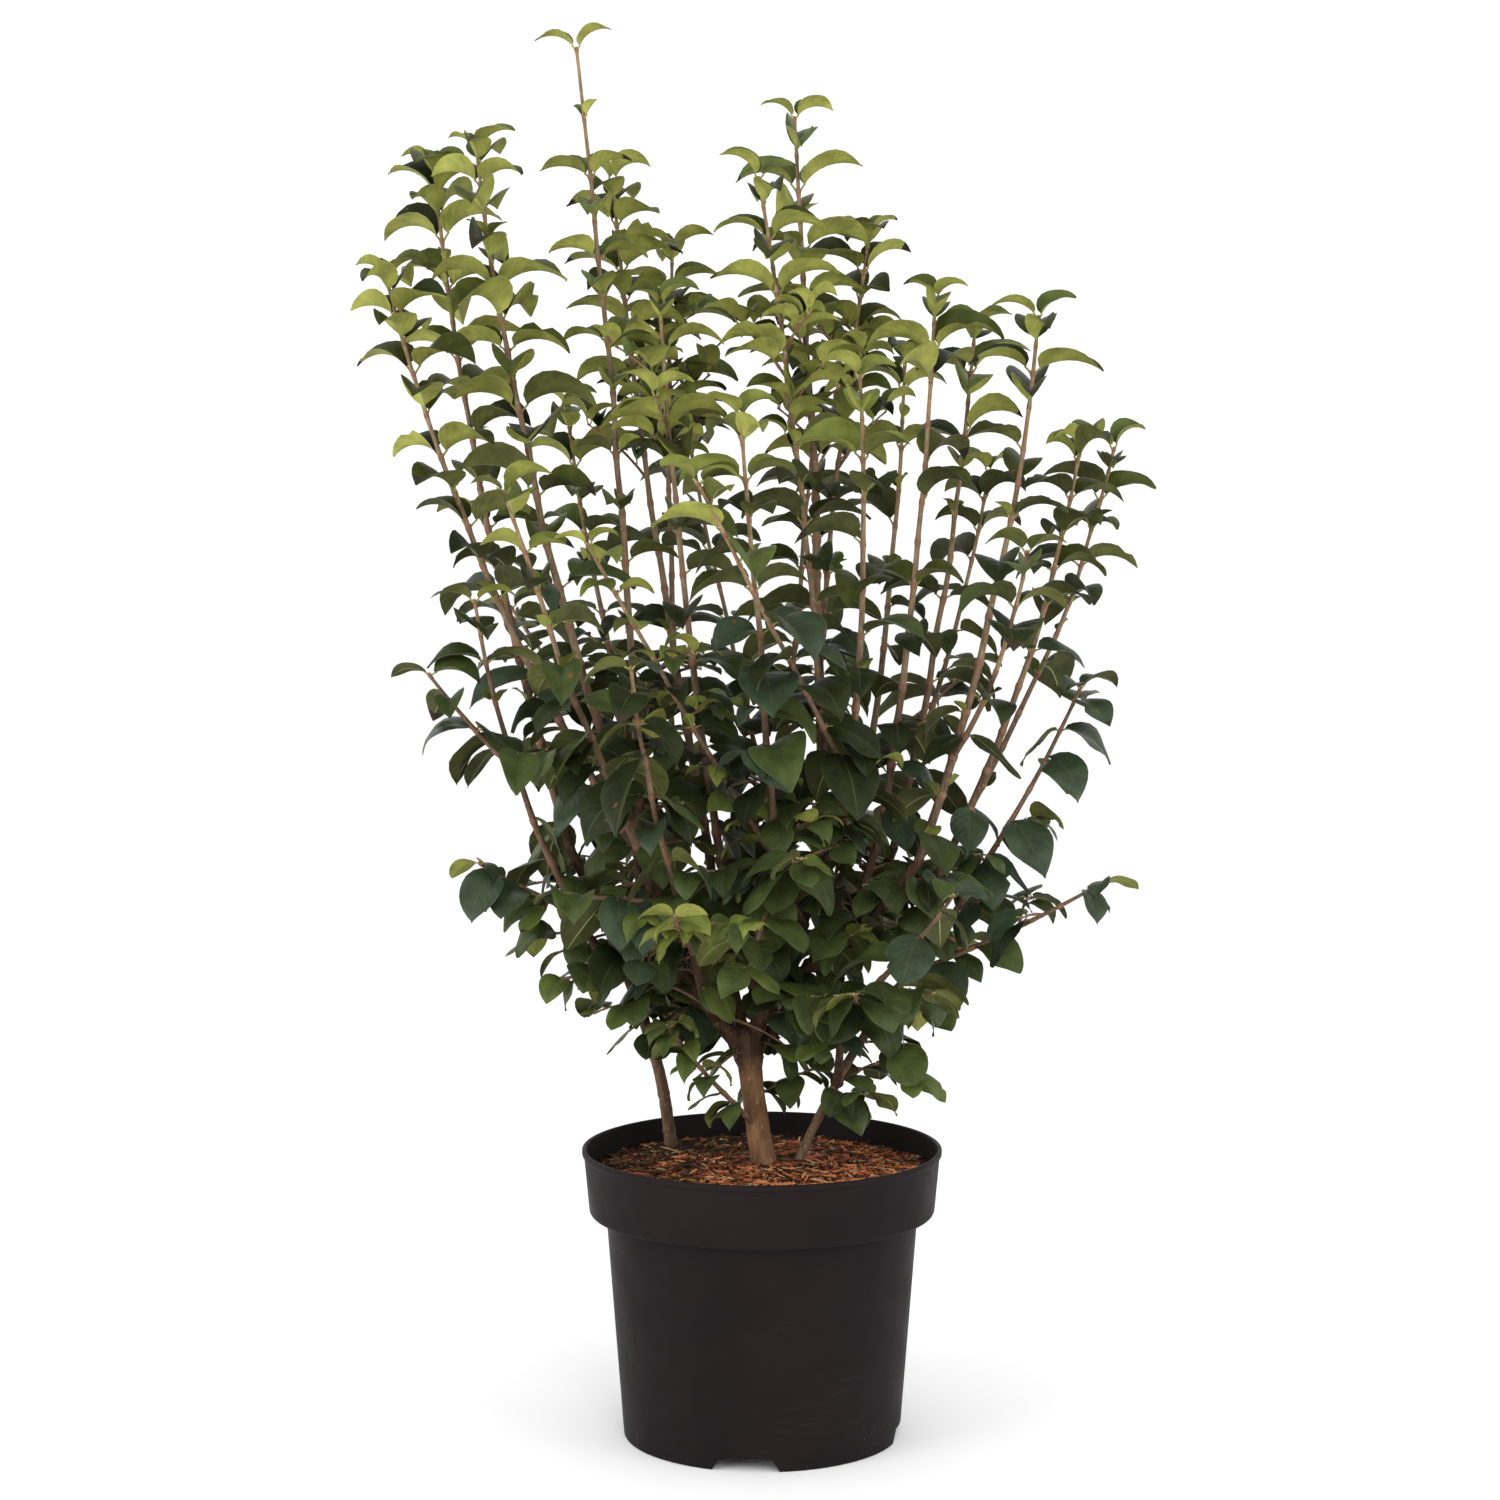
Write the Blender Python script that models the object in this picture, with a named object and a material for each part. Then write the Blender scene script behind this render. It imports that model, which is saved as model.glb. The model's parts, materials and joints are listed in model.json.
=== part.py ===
"""A lilac shrub in a round nursery pot, as separate solids.

The solids are the pot, the soil, three stems, the boughs and the masses of foliage.
Metres, +Z up. The origin is under the middle of the pot, at the level that it stands on,
and the front of the plant faces -Y.
"""

import math
import random
from collections import namedtuple

import bmesh
import bpy
from mathutils import Vector
from mathutils.bvhtree import BVHTree
from mathutils.kdtree import KDTree

# The pot
POT_HEIGHT = 0.226
RIM_RADIUS = 0.140
RIM_BEAD = 0.0034
COLLAR_DEPTH = 0.0505
COLLAR_FOOT_RADIUS = 0.1342
BODY_TOP_RADIUS = 0.1214
BODY_FOOT_RADIUS = 0.1080
WALL = 0.0024
FLOOR_HEIGHT = 0.0125
NOTCHES = 4
NOTCH_FOOT_WIDTH = 0.052
NOTCH_TOP_WIDTH = 0.039
NOTCH_HEIGHT = 0.0110
NOTCH_TURN = math.radians(-6.8)
POT_SIDES = 36

# The soil
SOIL_TOP = 0.2120
SOIL_EDGE = 0.2060
SOIL_FLAT_RADIUS = 0.042

# Room between solids that touch on the plant
CLEAR = 0.0003

# Limbs and shoots
LIMB_SIDES = 6
LIMB_STEP = 0.028
TRUNK_SIDES = 12
TRUNK_STEP = 0.012
FLARE = 0.0050
FLARE_HEIGHT = 0.014
KNOB = 0.0016
KNOB_LENGTH = 0.014
SHOOT_SIDES = 3
SHOOT_STEP = 0.095
SHOOT_FOOT_RADIUS = 0.0030
SHOOT_TIP_RADIUS = 0.0014
# A shoot that forks from the first one of its mass is this much thinner, and forks no lower
FORK_SHARE = 0.72
LOWEST_FORK = 0.011

# Leaves stand in pairs, each pair turned a quarter from the last
PAIR_SPACING = 0.052
PAIR_JITTER = math.radians(14)
PAIR_OFFSET = 0.0014
FIRST_PAIR = 0.030
LEAF_THICKNESS = 0.0013
LEAF_CREST = 0.43
ROOT_DEPTH = 0.0003
LOW_LEAF = 0.062
HIGH_LEAF = 0.054
TIP_LEAF = 0.034
HALF_WIDTH = 0.33
LENGTH_RANGE = (0.88, 1.10)
# Below the first height leaves are flat and hang; above the second they are folded and arch
LOW_UNTIL = 0.50
HIGH_FROM = 0.70
# In degrees: how steeply a leaf leaves its root, falls to its tip, and stands up from its midrib
LOW_RISE, HIGH_RISE, RISE_RANGE = -12, 38, 8
LOW_DROOP, HIGH_DROOP, DROOP_RANGE = 52, 18, 10
LOW_FOLD, HIGH_FOLD = 8, 42
# The pair that ends a shoot stands this much steeper
TIP_LIFT = 14

# Short side twigs fill the lower part of each mass
TWIGS_UNTIL = 0.60
TWIG_SPACING = 0.024
TWIG_SHARE = 0.60
TWIG_LENGTH = (0.040, 0.078)
TWIG_RADIUS = 0.0019
TWIG_TURN = math.radians(137)
TWIG_LIFT = (-0.10, 0.45)
# A shoot carries no twig this near its tip
BARE_TIP = 0.05

# A mass may lean this far over the middle line to its neighbour, and reach this far
LEAN_OVER = 0.020
REACH = 0.105
MARK_STEP = 0.012
# Twigs and leaves keep inside a goblet: its half width, and its depth as a share of that
GOBLET = (
    (0.225, 0.115), (0.300, 0.165), (0.400, 0.235), (0.460, 0.268),
    (0.640, 0.292), (0.760, 0.335), (1.100, 0.350),
)
GOBLET_DEPTH = 0.84

Stem = namedtuple("Stem", "name foot tip bow foot_radius tip_radius")
Limb = namedtuple("Limb", "name parent along tip bow foot_radius tip_radius")
Mass = namedtuple("Mass", "name limb along shoots")
Shoot = namedtuple("Shoot", "fork tip bow")

# Each bow is how far the middle of a line stands from its chord
STEMS = (
    Stem("trunk", (0.002, 0.004), (-0.012, 0.000, 0.312), (-0.001, 0, 0), 0.0095, 0.0086),
    Stem("stem_left", (-0.072, 0.076), (-0.150, 0.032, 0.455), (0.014, -0.016, 0), 0.0050, 0.0038),
    Stem("stem_right", (0.028, 0.010), (0.104, -0.012, 0.352), (-0.006, 0, 0), 0.0036, 0.0034),
)
LIMBS = (
    Limb("bough_middle", "trunk", 0.95, (0.047, 0.012, 0.500), (0.013, 0, 0), 0.0062, 0.0046),
    Limb("bough_left", "trunk", 0.90, (-0.094, 0.002, 0.460), (-0.015, 0, -0.008), 0.0060, 0.0042),
    Limb("bough_right", "bough_middle", 0.24, (0.120, -0.034, 0.455),
         (0.006, -0.008, -0.004), 0.0047, 0.0038),
    Limb("bough_far_left", "bough_left", 0.58, (-0.094, -0.036, 0.462),
         (-0.006, -0.004, 0), 0.0040, 0.0036),
    Limb("bough_left_front", "bough_left", 0.40, (-0.086, -0.070, 0.452),
         (-0.004, -0.010, -0.004), 0.0040, 0.0035),
    Limb("bough_left_rear", "bough_left", 0.66, (-0.096, 0.040, 0.470),
         (0.004, 0.006, -0.004), 0.0038, 0.0035),
    Limb("bough_left_low", "stem_left", 0.60, (-0.142, 0.006, 0.402),
         (0, -0.004, -0.003), 0.0036, 0.0033),
    Limb("bough_front_left_low", "bough_left", 0.20, (-0.052, -0.056, 0.388),
         (-0.002, -0.010, -0.006), 0.0042, 0.0034),
    Limb("bough_middle_left", "bough_middle", 0.13, (-0.032, -0.020, 0.455),
         (-0.004, -0.003, 0), 0.0040, 0.0035),
    Limb("bough_middle_rear", "trunk", 0.92, (-0.042, 0.048, 0.455),
         (-0.002, 0.012, -0.004), 0.0045, 0.0036),
    Limb("bough_front_middle", "bough_middle", 0.50, (0.012, -0.044, 0.440),
         (0.004, -0.008, -0.003), 0.0042, 0.0035),
    Limb("bough_front_right", "bough_middle", 0.74, (0.062, -0.036, 0.490),
         (0.003, -0.006, -0.003), 0.0038, 0.0034),
    Limb("bough_right_inner", "bough_right", 0.52, (0.092, 0.000, 0.470),
         (-0.002, 0.004, 0), 0.0038, 0.0034),
    Limb("bough_right_rear", "bough_right", 0.34, (0.104, 0.044, 0.455),
         (0.004, 0.010, -0.004), 0.0039, 0.0034),
    Limb("bough_far_right", "bough_right", 0.70, (0.138, 0.004, 0.440),
         (0.003, 0.003, -0.005), 0.0037, 0.0034),
    Limb("bough_front_right_low", "stem_right", 0.46, (0.060, -0.042, 0.338),
         (0, -0.006, -0.004), 0.0033, 0.0030),
    Limb("bough_back_left", "trunk", 0.80, (-0.076, 0.084, 0.430),
         (-0.006, 0.012, -0.010), 0.0044, 0.0034),
    Limb("bough_back_middle", "bough_middle", 0.34, (0.006, 0.074, 0.440),
         (0.002, 0.012, -0.006), 0.0042, 0.0034),
    Limb("bough_back_right", "bough_middle", 0.58, (0.074, 0.080, 0.450),
         (0.006, 0.010, -0.006), 0.0040, 0.0034),
    Limb("bough_back_low_left", "trunk", 0.66, (-0.040, 0.066, 0.350),
         (-0.002, 0.008, -0.008), 0.0036, 0.0031),
    Limb("bough_back_low_right", "trunk", 0.84, (0.036, 0.060, 0.362),
         (0.002, 0.008, -0.008), 0.0036, 0.0031),
)
MASSES = (
    Mass("far_left", "bough_far_left", 1, (Shoot(0, (-0.282, -0.030, 0.893), 0.022),)),
    Mass("left_rear", "stem_left", 1, (Shoot(0, (-0.256, 0.070, 0.985), 0.014),)),
    Mass("left_tall", "bough_left", 1, (Shoot(0, (-0.216, -0.010, 0.992), 0.016),)),
    Mass("left_front", "bough_left_front", 1, (Shoot(0, (-0.185, -0.160, 0.735), 0.006),)),
    Mass("left_low", "bough_left_low", 1, (
        Shoot(0, (-0.213, -0.092, 0.655), 0.010),
        Shoot(0.50, (-0.248, -0.084, 0.600), 0.004),
        Shoot(0.02, (-0.216, -0.030, 0.452), 0.004),
    )),
    Mass("tallest", "bough_left_rear", 1, (Shoot(0, (-0.142, 0.026, 1.072), -0.006),)),
    Mass("middle_rear", "bough_middle_rear", 1, (
        Shoot(0, (-0.118, 0.100, 0.978), 0.008),
        Shoot(0.30, (-0.072, 0.150, 0.925), 0.006),
    )),
    Mass("middle_left", "bough_middle_left", 1, (Shoot(0, (-0.076, -0.066, 0.872), 0.006),)),
    Mass("front_middle", "bough_front_middle", 1, (
        Shoot(0, (-0.016, -0.172, 0.789), 0.012),
        Shoot(0.05, (-0.126, -0.152, 0.698), 0.006),
        Shoot(0.03, (0.028, -0.150, 0.470), 0.004),
        Shoot(0.01, (-0.010, -0.125, 0.385), 0.004),
    )),
    Mass("front_left_low", "bough_front_left_low", 1, (
        Shoot(0, (-0.094, -0.188, 0.611), 0.010),
        Shoot(0.06, (-0.063, -0.205, 0.436), 0.004),
        Shoot(0.20, (-0.150, -0.120, 0.440), 0.004),
        Shoot(0.01, (-0.152, -0.056, 0.366), 0.004),
    )),
    Mass("middle_tall", "bough_middle", 1, (
        Shoot(0, (0.025, 0.048, 1.022), 0.004),
        Shoot(0.14, (-0.003, -0.046, 0.968), 0.006),
        Shoot(0.18, (0.086, 0.118, 0.936), -0.006),
    )),
    Mass("front_right", "bough_front_right", 1, (
        Shoot(0, (0.070, -0.132, 0.818), 0.012),
        Shoot(0.10, (-0.046, -0.206, 0.742), 0.010),
    )),
    Mass("right_inner", "bough_right_inner", 1, (Shoot(0, (0.130, -0.030, 0.880), 0.006),)),
    Mass("right_rear", "bough_right_rear", 1, (
        Shoot(0, (0.168, 0.086, 0.862), 0.010),
        Shoot(0.16, (0.186, 0.172, 0.750), 0.008),
    )),
    Mass("right_outer", "bough_right", 1, (
        Shoot(0, (0.206, -0.052, 0.865), 0.014),
        Shoot(0.20, (0.192, -0.130, 0.692), 0.010),
    )),
    Mass("far_right", "bough_far_right", 1, (
        Shoot(0, (0.242, -0.010, 0.769), 0.014),
        Shoot(0.16, (0.278, 0.080, 0.768), 0.012),
    )),
    Mass("right_low", "stem_right", 1, (
        Shoot(0, (0.246, 0.008, 0.584), 0.010),
        Shoot(0.05, (0.258, -0.064, 0.442), 0.006),
    )),
    Mass("front_right_low", "bough_front_right_low", 1, (
        Shoot(0, (0.139, -0.140, 0.442), 0.008),
        Shoot(0.08, (0.066, -0.160, 0.372), 0.008),
        Shoot(0.12, (0.112, -0.072, 0.290), 0.006),
    )),
    Mass("foot", "trunk", 0.30, (Shoot(0, (-0.071, -0.084, 0.336), 0.004),)),
    Mass("back_left", "bough_back_left", 1, (
        Shoot(0, (-0.160, 0.196, 0.800), 0.014),
        Shoot(0.24, (-0.204, 0.150, 0.640), 0.008),
    )),
    Mass("back_middle", "bough_back_middle", 1, (
        Shoot(0, (0.042, 0.200, 0.768), 0.012),
        Shoot(0.08, (-0.060, 0.192, 0.778), 0.010),
    )),
    Mass("back_right", "bough_back_right", 1, (
        Shoot(0, (0.118, 0.190, 0.842), 0.012),
        Shoot(0.20, (0.176, 0.188, 0.590), 0.008),
    )),
    Mass("back_low_left", "bough_back_low_left", 1, (
        Shoot(0, (-0.118, 0.184, 0.470), 0.010),
        Shoot(0.10, (-0.020, 0.206, 0.440), 0.008),
    )),
    Mass("back_low_right", "bough_back_low_right", 1, (
        Shoot(0, (0.136, 0.150, 0.440), 0.010),
        Shoot(0.10, (0.070, 0.208, 0.480), 0.008),
    )),
)

UP = Vector((0, 0, 1))


def clear_scene():
    for item in list(bpy.data.objects):
        bpy.data.objects.remove(item, do_unlink=True)


def plain_material(name, colour, roughness):
    material = bpy.data.materials.new(name)
    material.use_nodes = True
    shader = material.node_tree.nodes["Principled BSDF"]
    shader.inputs["Base Color"].default_value = (*colour, 1)
    shader.inputs["Roughness"].default_value = roughness
    shader.inputs["Metallic"].default_value = 0
    return material


def add_object(name, verts, faces, material, into=None):
    """A mesh object with its faces pointing out."""
    mesh = bpy.data.meshes.new(name)
    mesh.from_pydata(verts, [], faces)
    shape = bmesh.new()
    shape.from_mesh(mesh)
    bmesh.ops.recalc_face_normals(shape, faces=shape.faces)
    shape.to_mesh(mesh)
    shape.free()
    mesh.materials.append(material)
    item = bpy.data.objects.new(name, mesh)
    (into or bpy.context.scene.collection).objects.link(item)
    return item


def shade_round(item, angle):
    item.data.shade_smooth()
    item.data.set_sharp_from_angle(angle=angle)


def applied(item):
    """Puts the result of the modifiers in the mesh, and takes them off."""
    bpy.context.view_layer.update()
    graph = bpy.context.evaluated_depsgraph_get()
    mesh = bpy.data.meshes.new_from_object(item.evaluated_get(graph))
    item.modifiers.clear()
    old = item.data
    item.data = mesh
    bpy.data.meshes.remove(old)
    mesh.name = item.name


def cut_away(item, cutter):
    """Takes the cutter's shape out of the item, and removes the cutter."""
    cut = item.modifiers.new("clear_of_neighbour", "BOOLEAN")
    cut.operation = "DIFFERENCE"
    cut.object = cutter
    applied(item)
    bpy.data.objects.remove(cutter, do_unlink=True)


def fuse(item, others):
    """Joins a collection of closed meshes to the item as one body, and removes the collection."""
    join = item.modifiers.new("fused", "BOOLEAN")
    join.operation = "UNION"
    join.operand_type = "COLLECTION"
    join.collection = others
    applied(item)
    for other in list(others.objects):
        bpy.data.objects.remove(other, do_unlink=True)
    bpy.data.collections.remove(others)


def turned(profile, sides):
    """Points and faces of a profile of (radius, height) turned round the Z axis, from axis to axis."""
    verts = [Vector((0, 0, profile[0][1]))]
    for radius, height in profile[1:-1]:
        for side in range(sides):
            angle = math.tau * side / sides
            verts.append(Vector((radius * math.cos(angle), radius * math.sin(angle), height)))
    verts.append(Vector((0, 0, profile[-1][1])))
    rings = len(profile) - 2
    faces = []
    for side in range(sides):
        after = (side + 1) % sides
        faces.append((0, 1 + after, 1 + side))
        for ring in range(rings - 1):
            near, far = 1 + ring * sides, 1 + (ring + 1) * sides
            faces.append((near + side, near + after, far + after, far + side))
        last = 1 + (rings - 1) * sides
        faces.append((last + side, last + after, len(verts) - 1))
    return verts, faces


def bent_line(start, tip, bow, step):
    """Points on one curve from start to tip whose middle stands off its chord by bow."""
    start, tip = Vector(start), Vector(tip)
    control = (start + tip) / 2 + 2 * Vector(bow)
    count = max(1, round((tip - start).length / step))
    line = []
    for i in range(count + 1):
        t = i / count
        line.append((1 - t) ** 2 * start + 2 * t * (1 - t) * control + t * t * tip)
    return line


def lengths_along(line):
    """How far along the line each of its points is."""
    lengths = [0.0]
    for a, b in zip(line, line[1:]):
        lengths.append(lengths[-1] + (b - a).length)
    return lengths


def place_along(line, distance):
    """The point of a line at a distance from its start, and the line's direction there."""
    lengths = lengths_along(line)
    for i in range(1, len(line)):
        if distance <= lengths[i] or i == len(line) - 1:
            share = (distance - lengths[i - 1]) / (lengths[i] - lengths[i - 1])
            return line[i - 1].lerp(line[i], share), (line[i] - line[i - 1]).normalized()


def tube(line, radii, sides):
    """Points and faces of a closed tube round a line, with a radius for each point."""
    count = len(line)
    direction = (line[1] - line[0]).normalized()
    across = direction.orthogonal().normalized()
    verts, faces = [], []
    for i, (point, radius) in enumerate(zip(line, radii)):
        direction = (line[min(i + 1, count - 1)] - line[max(i - 1, 0)]).normalized()
        across = (across - direction * across.dot(direction)).normalized()
        beside = direction.cross(across)
        for side in range(sides):
            angle = math.tau * side / sides
            verts.append(point + radius * (across * math.cos(angle) + beside * math.sin(angle)))
    for i in range(count - 1):
        for side in range(sides):
            after = (side + 1) % sides
            near, far = i * sides, (i + 1) * sides
            faces.append((near + side, near + after, far + after, far + side))
    faces.append(tuple(reversed(range(sides))))
    faces.append(tuple(range((count - 1) * sides, count * sides)))
    return verts, faces


def taper(line, foot_radius, tip_radius):
    lengths = lengths_along(line)
    return [foot_radius + (tip_radius - foot_radius) * length / lengths[-1] for length in lengths]


def swollen_cutter(line, radii, sides, material):
    """A limb's own tube with the clearance added all round, to cut its neighbours with."""
    line = [point.copy() for point in line]
    line[-1] += CLEAR * (line[-1] - line[-2]).normalized()
    # A flat side lies nearer the line than its corners, so the corners move out further
    wider = [radius + CLEAR / math.cos(math.pi / sides) for radius in radii]
    return add_object("cutter", *tube(line, wider, sides), material)


def soil_height(radius):
    share = max(0.0, radius - SOIL_FLAT_RADIUS) / (pot_inner_radius(SOIL_EDGE) - SOIL_FLAT_RADIUS)
    return SOIL_TOP + (SOIL_EDGE - SOIL_TOP) * share


def collar_height():
    return POT_HEIGHT - COLLAR_DEPTH


def pot_inner_radius(height):
    """The radius of the pot's inner wall at a height inside its collar."""
    share = (height - collar_height()) / COLLAR_DEPTH
    low, high = COLLAR_FOOT_RADIUS - WALL, RIM_RADIUS - RIM_BEAD
    return low + (high - low) * share


def make_pot(material):
    collar = collar_height()
    foot_wall = BODY_FOOT_RADIUS - 1.3 * WALL
    edge = 0.0010
    inner_rim = RIM_RADIUS - RIM_BEAD
    profile = [
        (0, FLOOR_HEIGHT),
        (foot_wall, FLOOR_HEIGHT),
        (foot_wall, 0),
        (BODY_FOOT_RADIUS - edge, 0),
        (BODY_FOOT_RADIUS, edge),
        (BODY_TOP_RADIUS, collar),
        (COLLAR_FOOT_RADIUS - 1.5 * edge, collar),
        (COLLAR_FOOT_RADIUS, collar + 1.5 * edge),
        (RIM_RADIUS - 1.4 * edge, POT_HEIGHT - 5 * edge),
        (RIM_RADIUS, POT_HEIGHT - 4 * edge),
        (RIM_RADIUS, POT_HEIGHT - edge),
        (RIM_RADIUS - edge, POT_HEIGHT),
        (inner_rim + edge, POT_HEIGHT),
        (inner_rim, POT_HEIGHT - edge),
        (pot_inner_radius(collar + WALL), collar + WALL),
        (BODY_TOP_RADIUS - WALL, collar + WALL),
        (BODY_FOOT_RADIUS - WALL, FLOOR_HEIGHT + WALL),
        (0, FLOOR_HEIGHT + WALL),
    ]
    pot = add_object("pot", *turned(profile, POT_SIDES), material)
    notches = make_notch_cutter(material)
    cut = pot.modifiers.new("foot_notches", "BOOLEAN")
    cut.operation = "DIFFERENCE"
    cut.object = notches
    shade_round(pot, math.radians(35))
    return pot


def make_notch_cutter(material):
    """Wedges that open the foot ring, wider at the ground than at their top."""
    inside, outside = BODY_FOOT_RADIUS - 0.018, BODY_FOOT_RADIUS + 0.010
    below = -0.004
    verts, faces = [], []
    for number in range(NOTCHES):
        angle = NOTCH_TURN - math.pi / 2 + math.tau * number / NOTCHES
        out = Vector((math.cos(angle), math.sin(angle), 0))
        along = UP.cross(out)
        slope = (NOTCH_FOOT_WIDTH - NOTCH_TOP_WIDTH) / NOTCH_HEIGHT
        first = len(verts)
        for distance in (inside, outside):
            for side, height in ((-1, below), (1, below), (1, NOTCH_HEIGHT), (-1, NOTCH_HEIGHT)):
                half = (NOTCH_FOOT_WIDTH - slope * height) / 2
                verts.append(out * distance + along * side * half + UP * height)
        faces += [(first + 3, first + 2, first + 1, first), (first + 4, first + 5, first + 6, first + 7)]
        for corner in range(4):
            after = (corner + 1) % 4
            faces.append((first + corner, first + after, first + 4 + after, first + 4 + corner))
    cutter = add_object("foot_notches", verts, faces, material)
    cutter.hide_render = True
    cutter.display_type = "WIRE"
    return cutter


def make_soil(material):
    room = 0.0004
    collar = collar_height() + WALL
    floor = FLOOR_HEIGHT + WALL + room
    edge = pot_inner_radius(SOIL_EDGE) - room
    slope = (BODY_TOP_RADIUS - BODY_FOOT_RADIUS) / (collar - FLOOR_HEIGHT - WALL)
    profile = [
        (0, floor),
        (BODY_FOOT_RADIUS - WALL - room + slope * room, floor),
        (BODY_TOP_RADIUS - WALL - room, collar + room),
        (pot_inner_radius(collar + room) - room, collar + room),
        (edge, SOIL_EDGE),
        (SOIL_FLAT_RADIUS, SOIL_TOP),
        (0, SOIL_TOP),
    ]
    soil = add_object("soil", *turned(profile, POT_SIDES), material)
    shade_round(soil, math.radians(35))
    return soil


class Limbs:
    """The stems and boughs, with the line and radii of each, by name."""

    def __init__(self, material):
        self.material = material
        self.lines = {}
        self.radii = {}
        self.sides = {}
        self.objects = {}

    def add(self, name, line, radii, sides, cut_by=()):
        item = add_object(name, *tube(line, radii, sides), self.material)
        for other in cut_by:
            cut_away(item, self.cutter(other))
        shade_round(item, math.radians(50))
        self.lines[name] = line
        self.radii[name] = radii
        self.sides[name] = sides
        self.objects[name] = item

    def cutter(self, name):
        return swollen_cutter(self.lines[name], self.radii[name], self.sides[name], self.material)

    def start_on(self, name, along):
        """The point inside a limb that another one grows from."""
        line = self.lines[name]
        whole = lengths_along(line)[-1]
        inside_tip = whole - 0.6 * self.radii[name][-1]
        return place_along(line, min(whole * along, inside_tip))[0]

    def grow_stem(self, stem):
        inner = math.hypot(*stem.foot) - stem.foot_radius
        foot = Vector((*stem.foot, soil_height(inner) + CLEAR))
        is_trunk = stem.name == "trunk"
        sides = TRUNK_SIDES if is_trunk else LIMB_SIDES
        line = bent_line(foot, stem.tip, stem.bow, TRUNK_STEP if is_trunk else LIMB_STEP)
        radii = taper(line, stem.foot_radius, stem.tip_radius)
        if is_trunk:
            self.shape_trunk(line, radii)
        self.add(stem.name, line, radii, sides)
        # The lowest ring is a flat level cut
        for vertex in self.objects[stem.name].data.vertices[:sides]:
            vertex.co.z = foot.z

    def shape_trunk(self, line, radii):
        """Adds the root flare, and the knob of the fork, a little wider than the trunk below it."""
        lengths = lengths_along(line)
        for i, length in enumerate(lengths):
            radii[i] += FLARE * max(0.0, 1 - length / FLARE_HEIGHT) ** 2
            radii[i] += KNOB * math.exp(-(((lengths[-1] - length) / KNOB_LENGTH - 0.6) ** 2))

    def grow_limb(self, limb):
        start = self.start_on(limb.parent, limb.along)
        line = bent_line(start, limb.tip, limb.bow, LIMB_STEP)
        radii = taper(line, limb.foot_radius, limb.tip_radius)
        # It is cut clear of its parent, and of an older limb that leaves from the same place
        cut_by = [limb.parent]
        for other in LIMBS:
            if other.name == limb.name:
                break
            if other.parent == limb.parent and abs(other.along - limb.along) < 0.12:
                cut_by.append(other.name)
            if other.name == limb.parent and limb.along < 0.15:
                cut_by.append(other.parent)
        self.add(limb.name, line, radii, LIMB_SIDES, cut_by)


def leaf_mesh(root, out, size, rise, droop, fold, extra=0.0):
    """A thin closed leaf of eight faces: root, tip, two edges, and the midrib's upper and under side.

    It leaves its root at the angle rise over the level, passes its crest, and falls to its tip
    at the angle droop. Its edges stand up from the midrib by the angle fold. extra thickens it.
    """
    side = UP.cross(out).normalized()
    up_part = out * math.cos(rise) + UP * math.sin(rise)
    down_part = out * math.cos(droop) - UP * math.sin(droop)
    normal = side.cross(-(up_part + down_part).normalized()).normalized()
    if normal.z < 0:
        normal.negate()
    crest = root + size * LEAF_CREST * up_part
    tip = crest + (size * (1 - LEAF_CREST) + extra) * down_part
    half = normal * (LEAF_THICKNESS / 2 + extra)
    reach = size * HALF_WIDTH + extra
    edge = normal * math.sin(fold) * reach
    spread = side * math.cos(fold) * reach
    verts = [root, tip, crest + edge - spread, crest + edge + spread, crest + half, crest - half]
    faces = [(0, 4, 2), (0, 3, 4), (1, 2, 4), (1, 4, 3), (0, 2, 5), (0, 5, 3), (1, 5, 2), (1, 3, 5)]
    return verts, faces


def ease(low, high, value):
    """Runs smoothly from 0 to 1 while the value runs from low to high."""
    share = min(1.0, max(0.0, (value - low) / (high - low)))
    return share * share * (3 - 2 * share)


def between(first, second, share):
    return first + (second - first) * share


def goblet_radius(height):
    for (low, narrow), (high, wide) in zip(GOBLET, GOBLET[1:]):
        if height <= high:
            return narrow + (wide - narrow) * (height - low) / (high - low)


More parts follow.
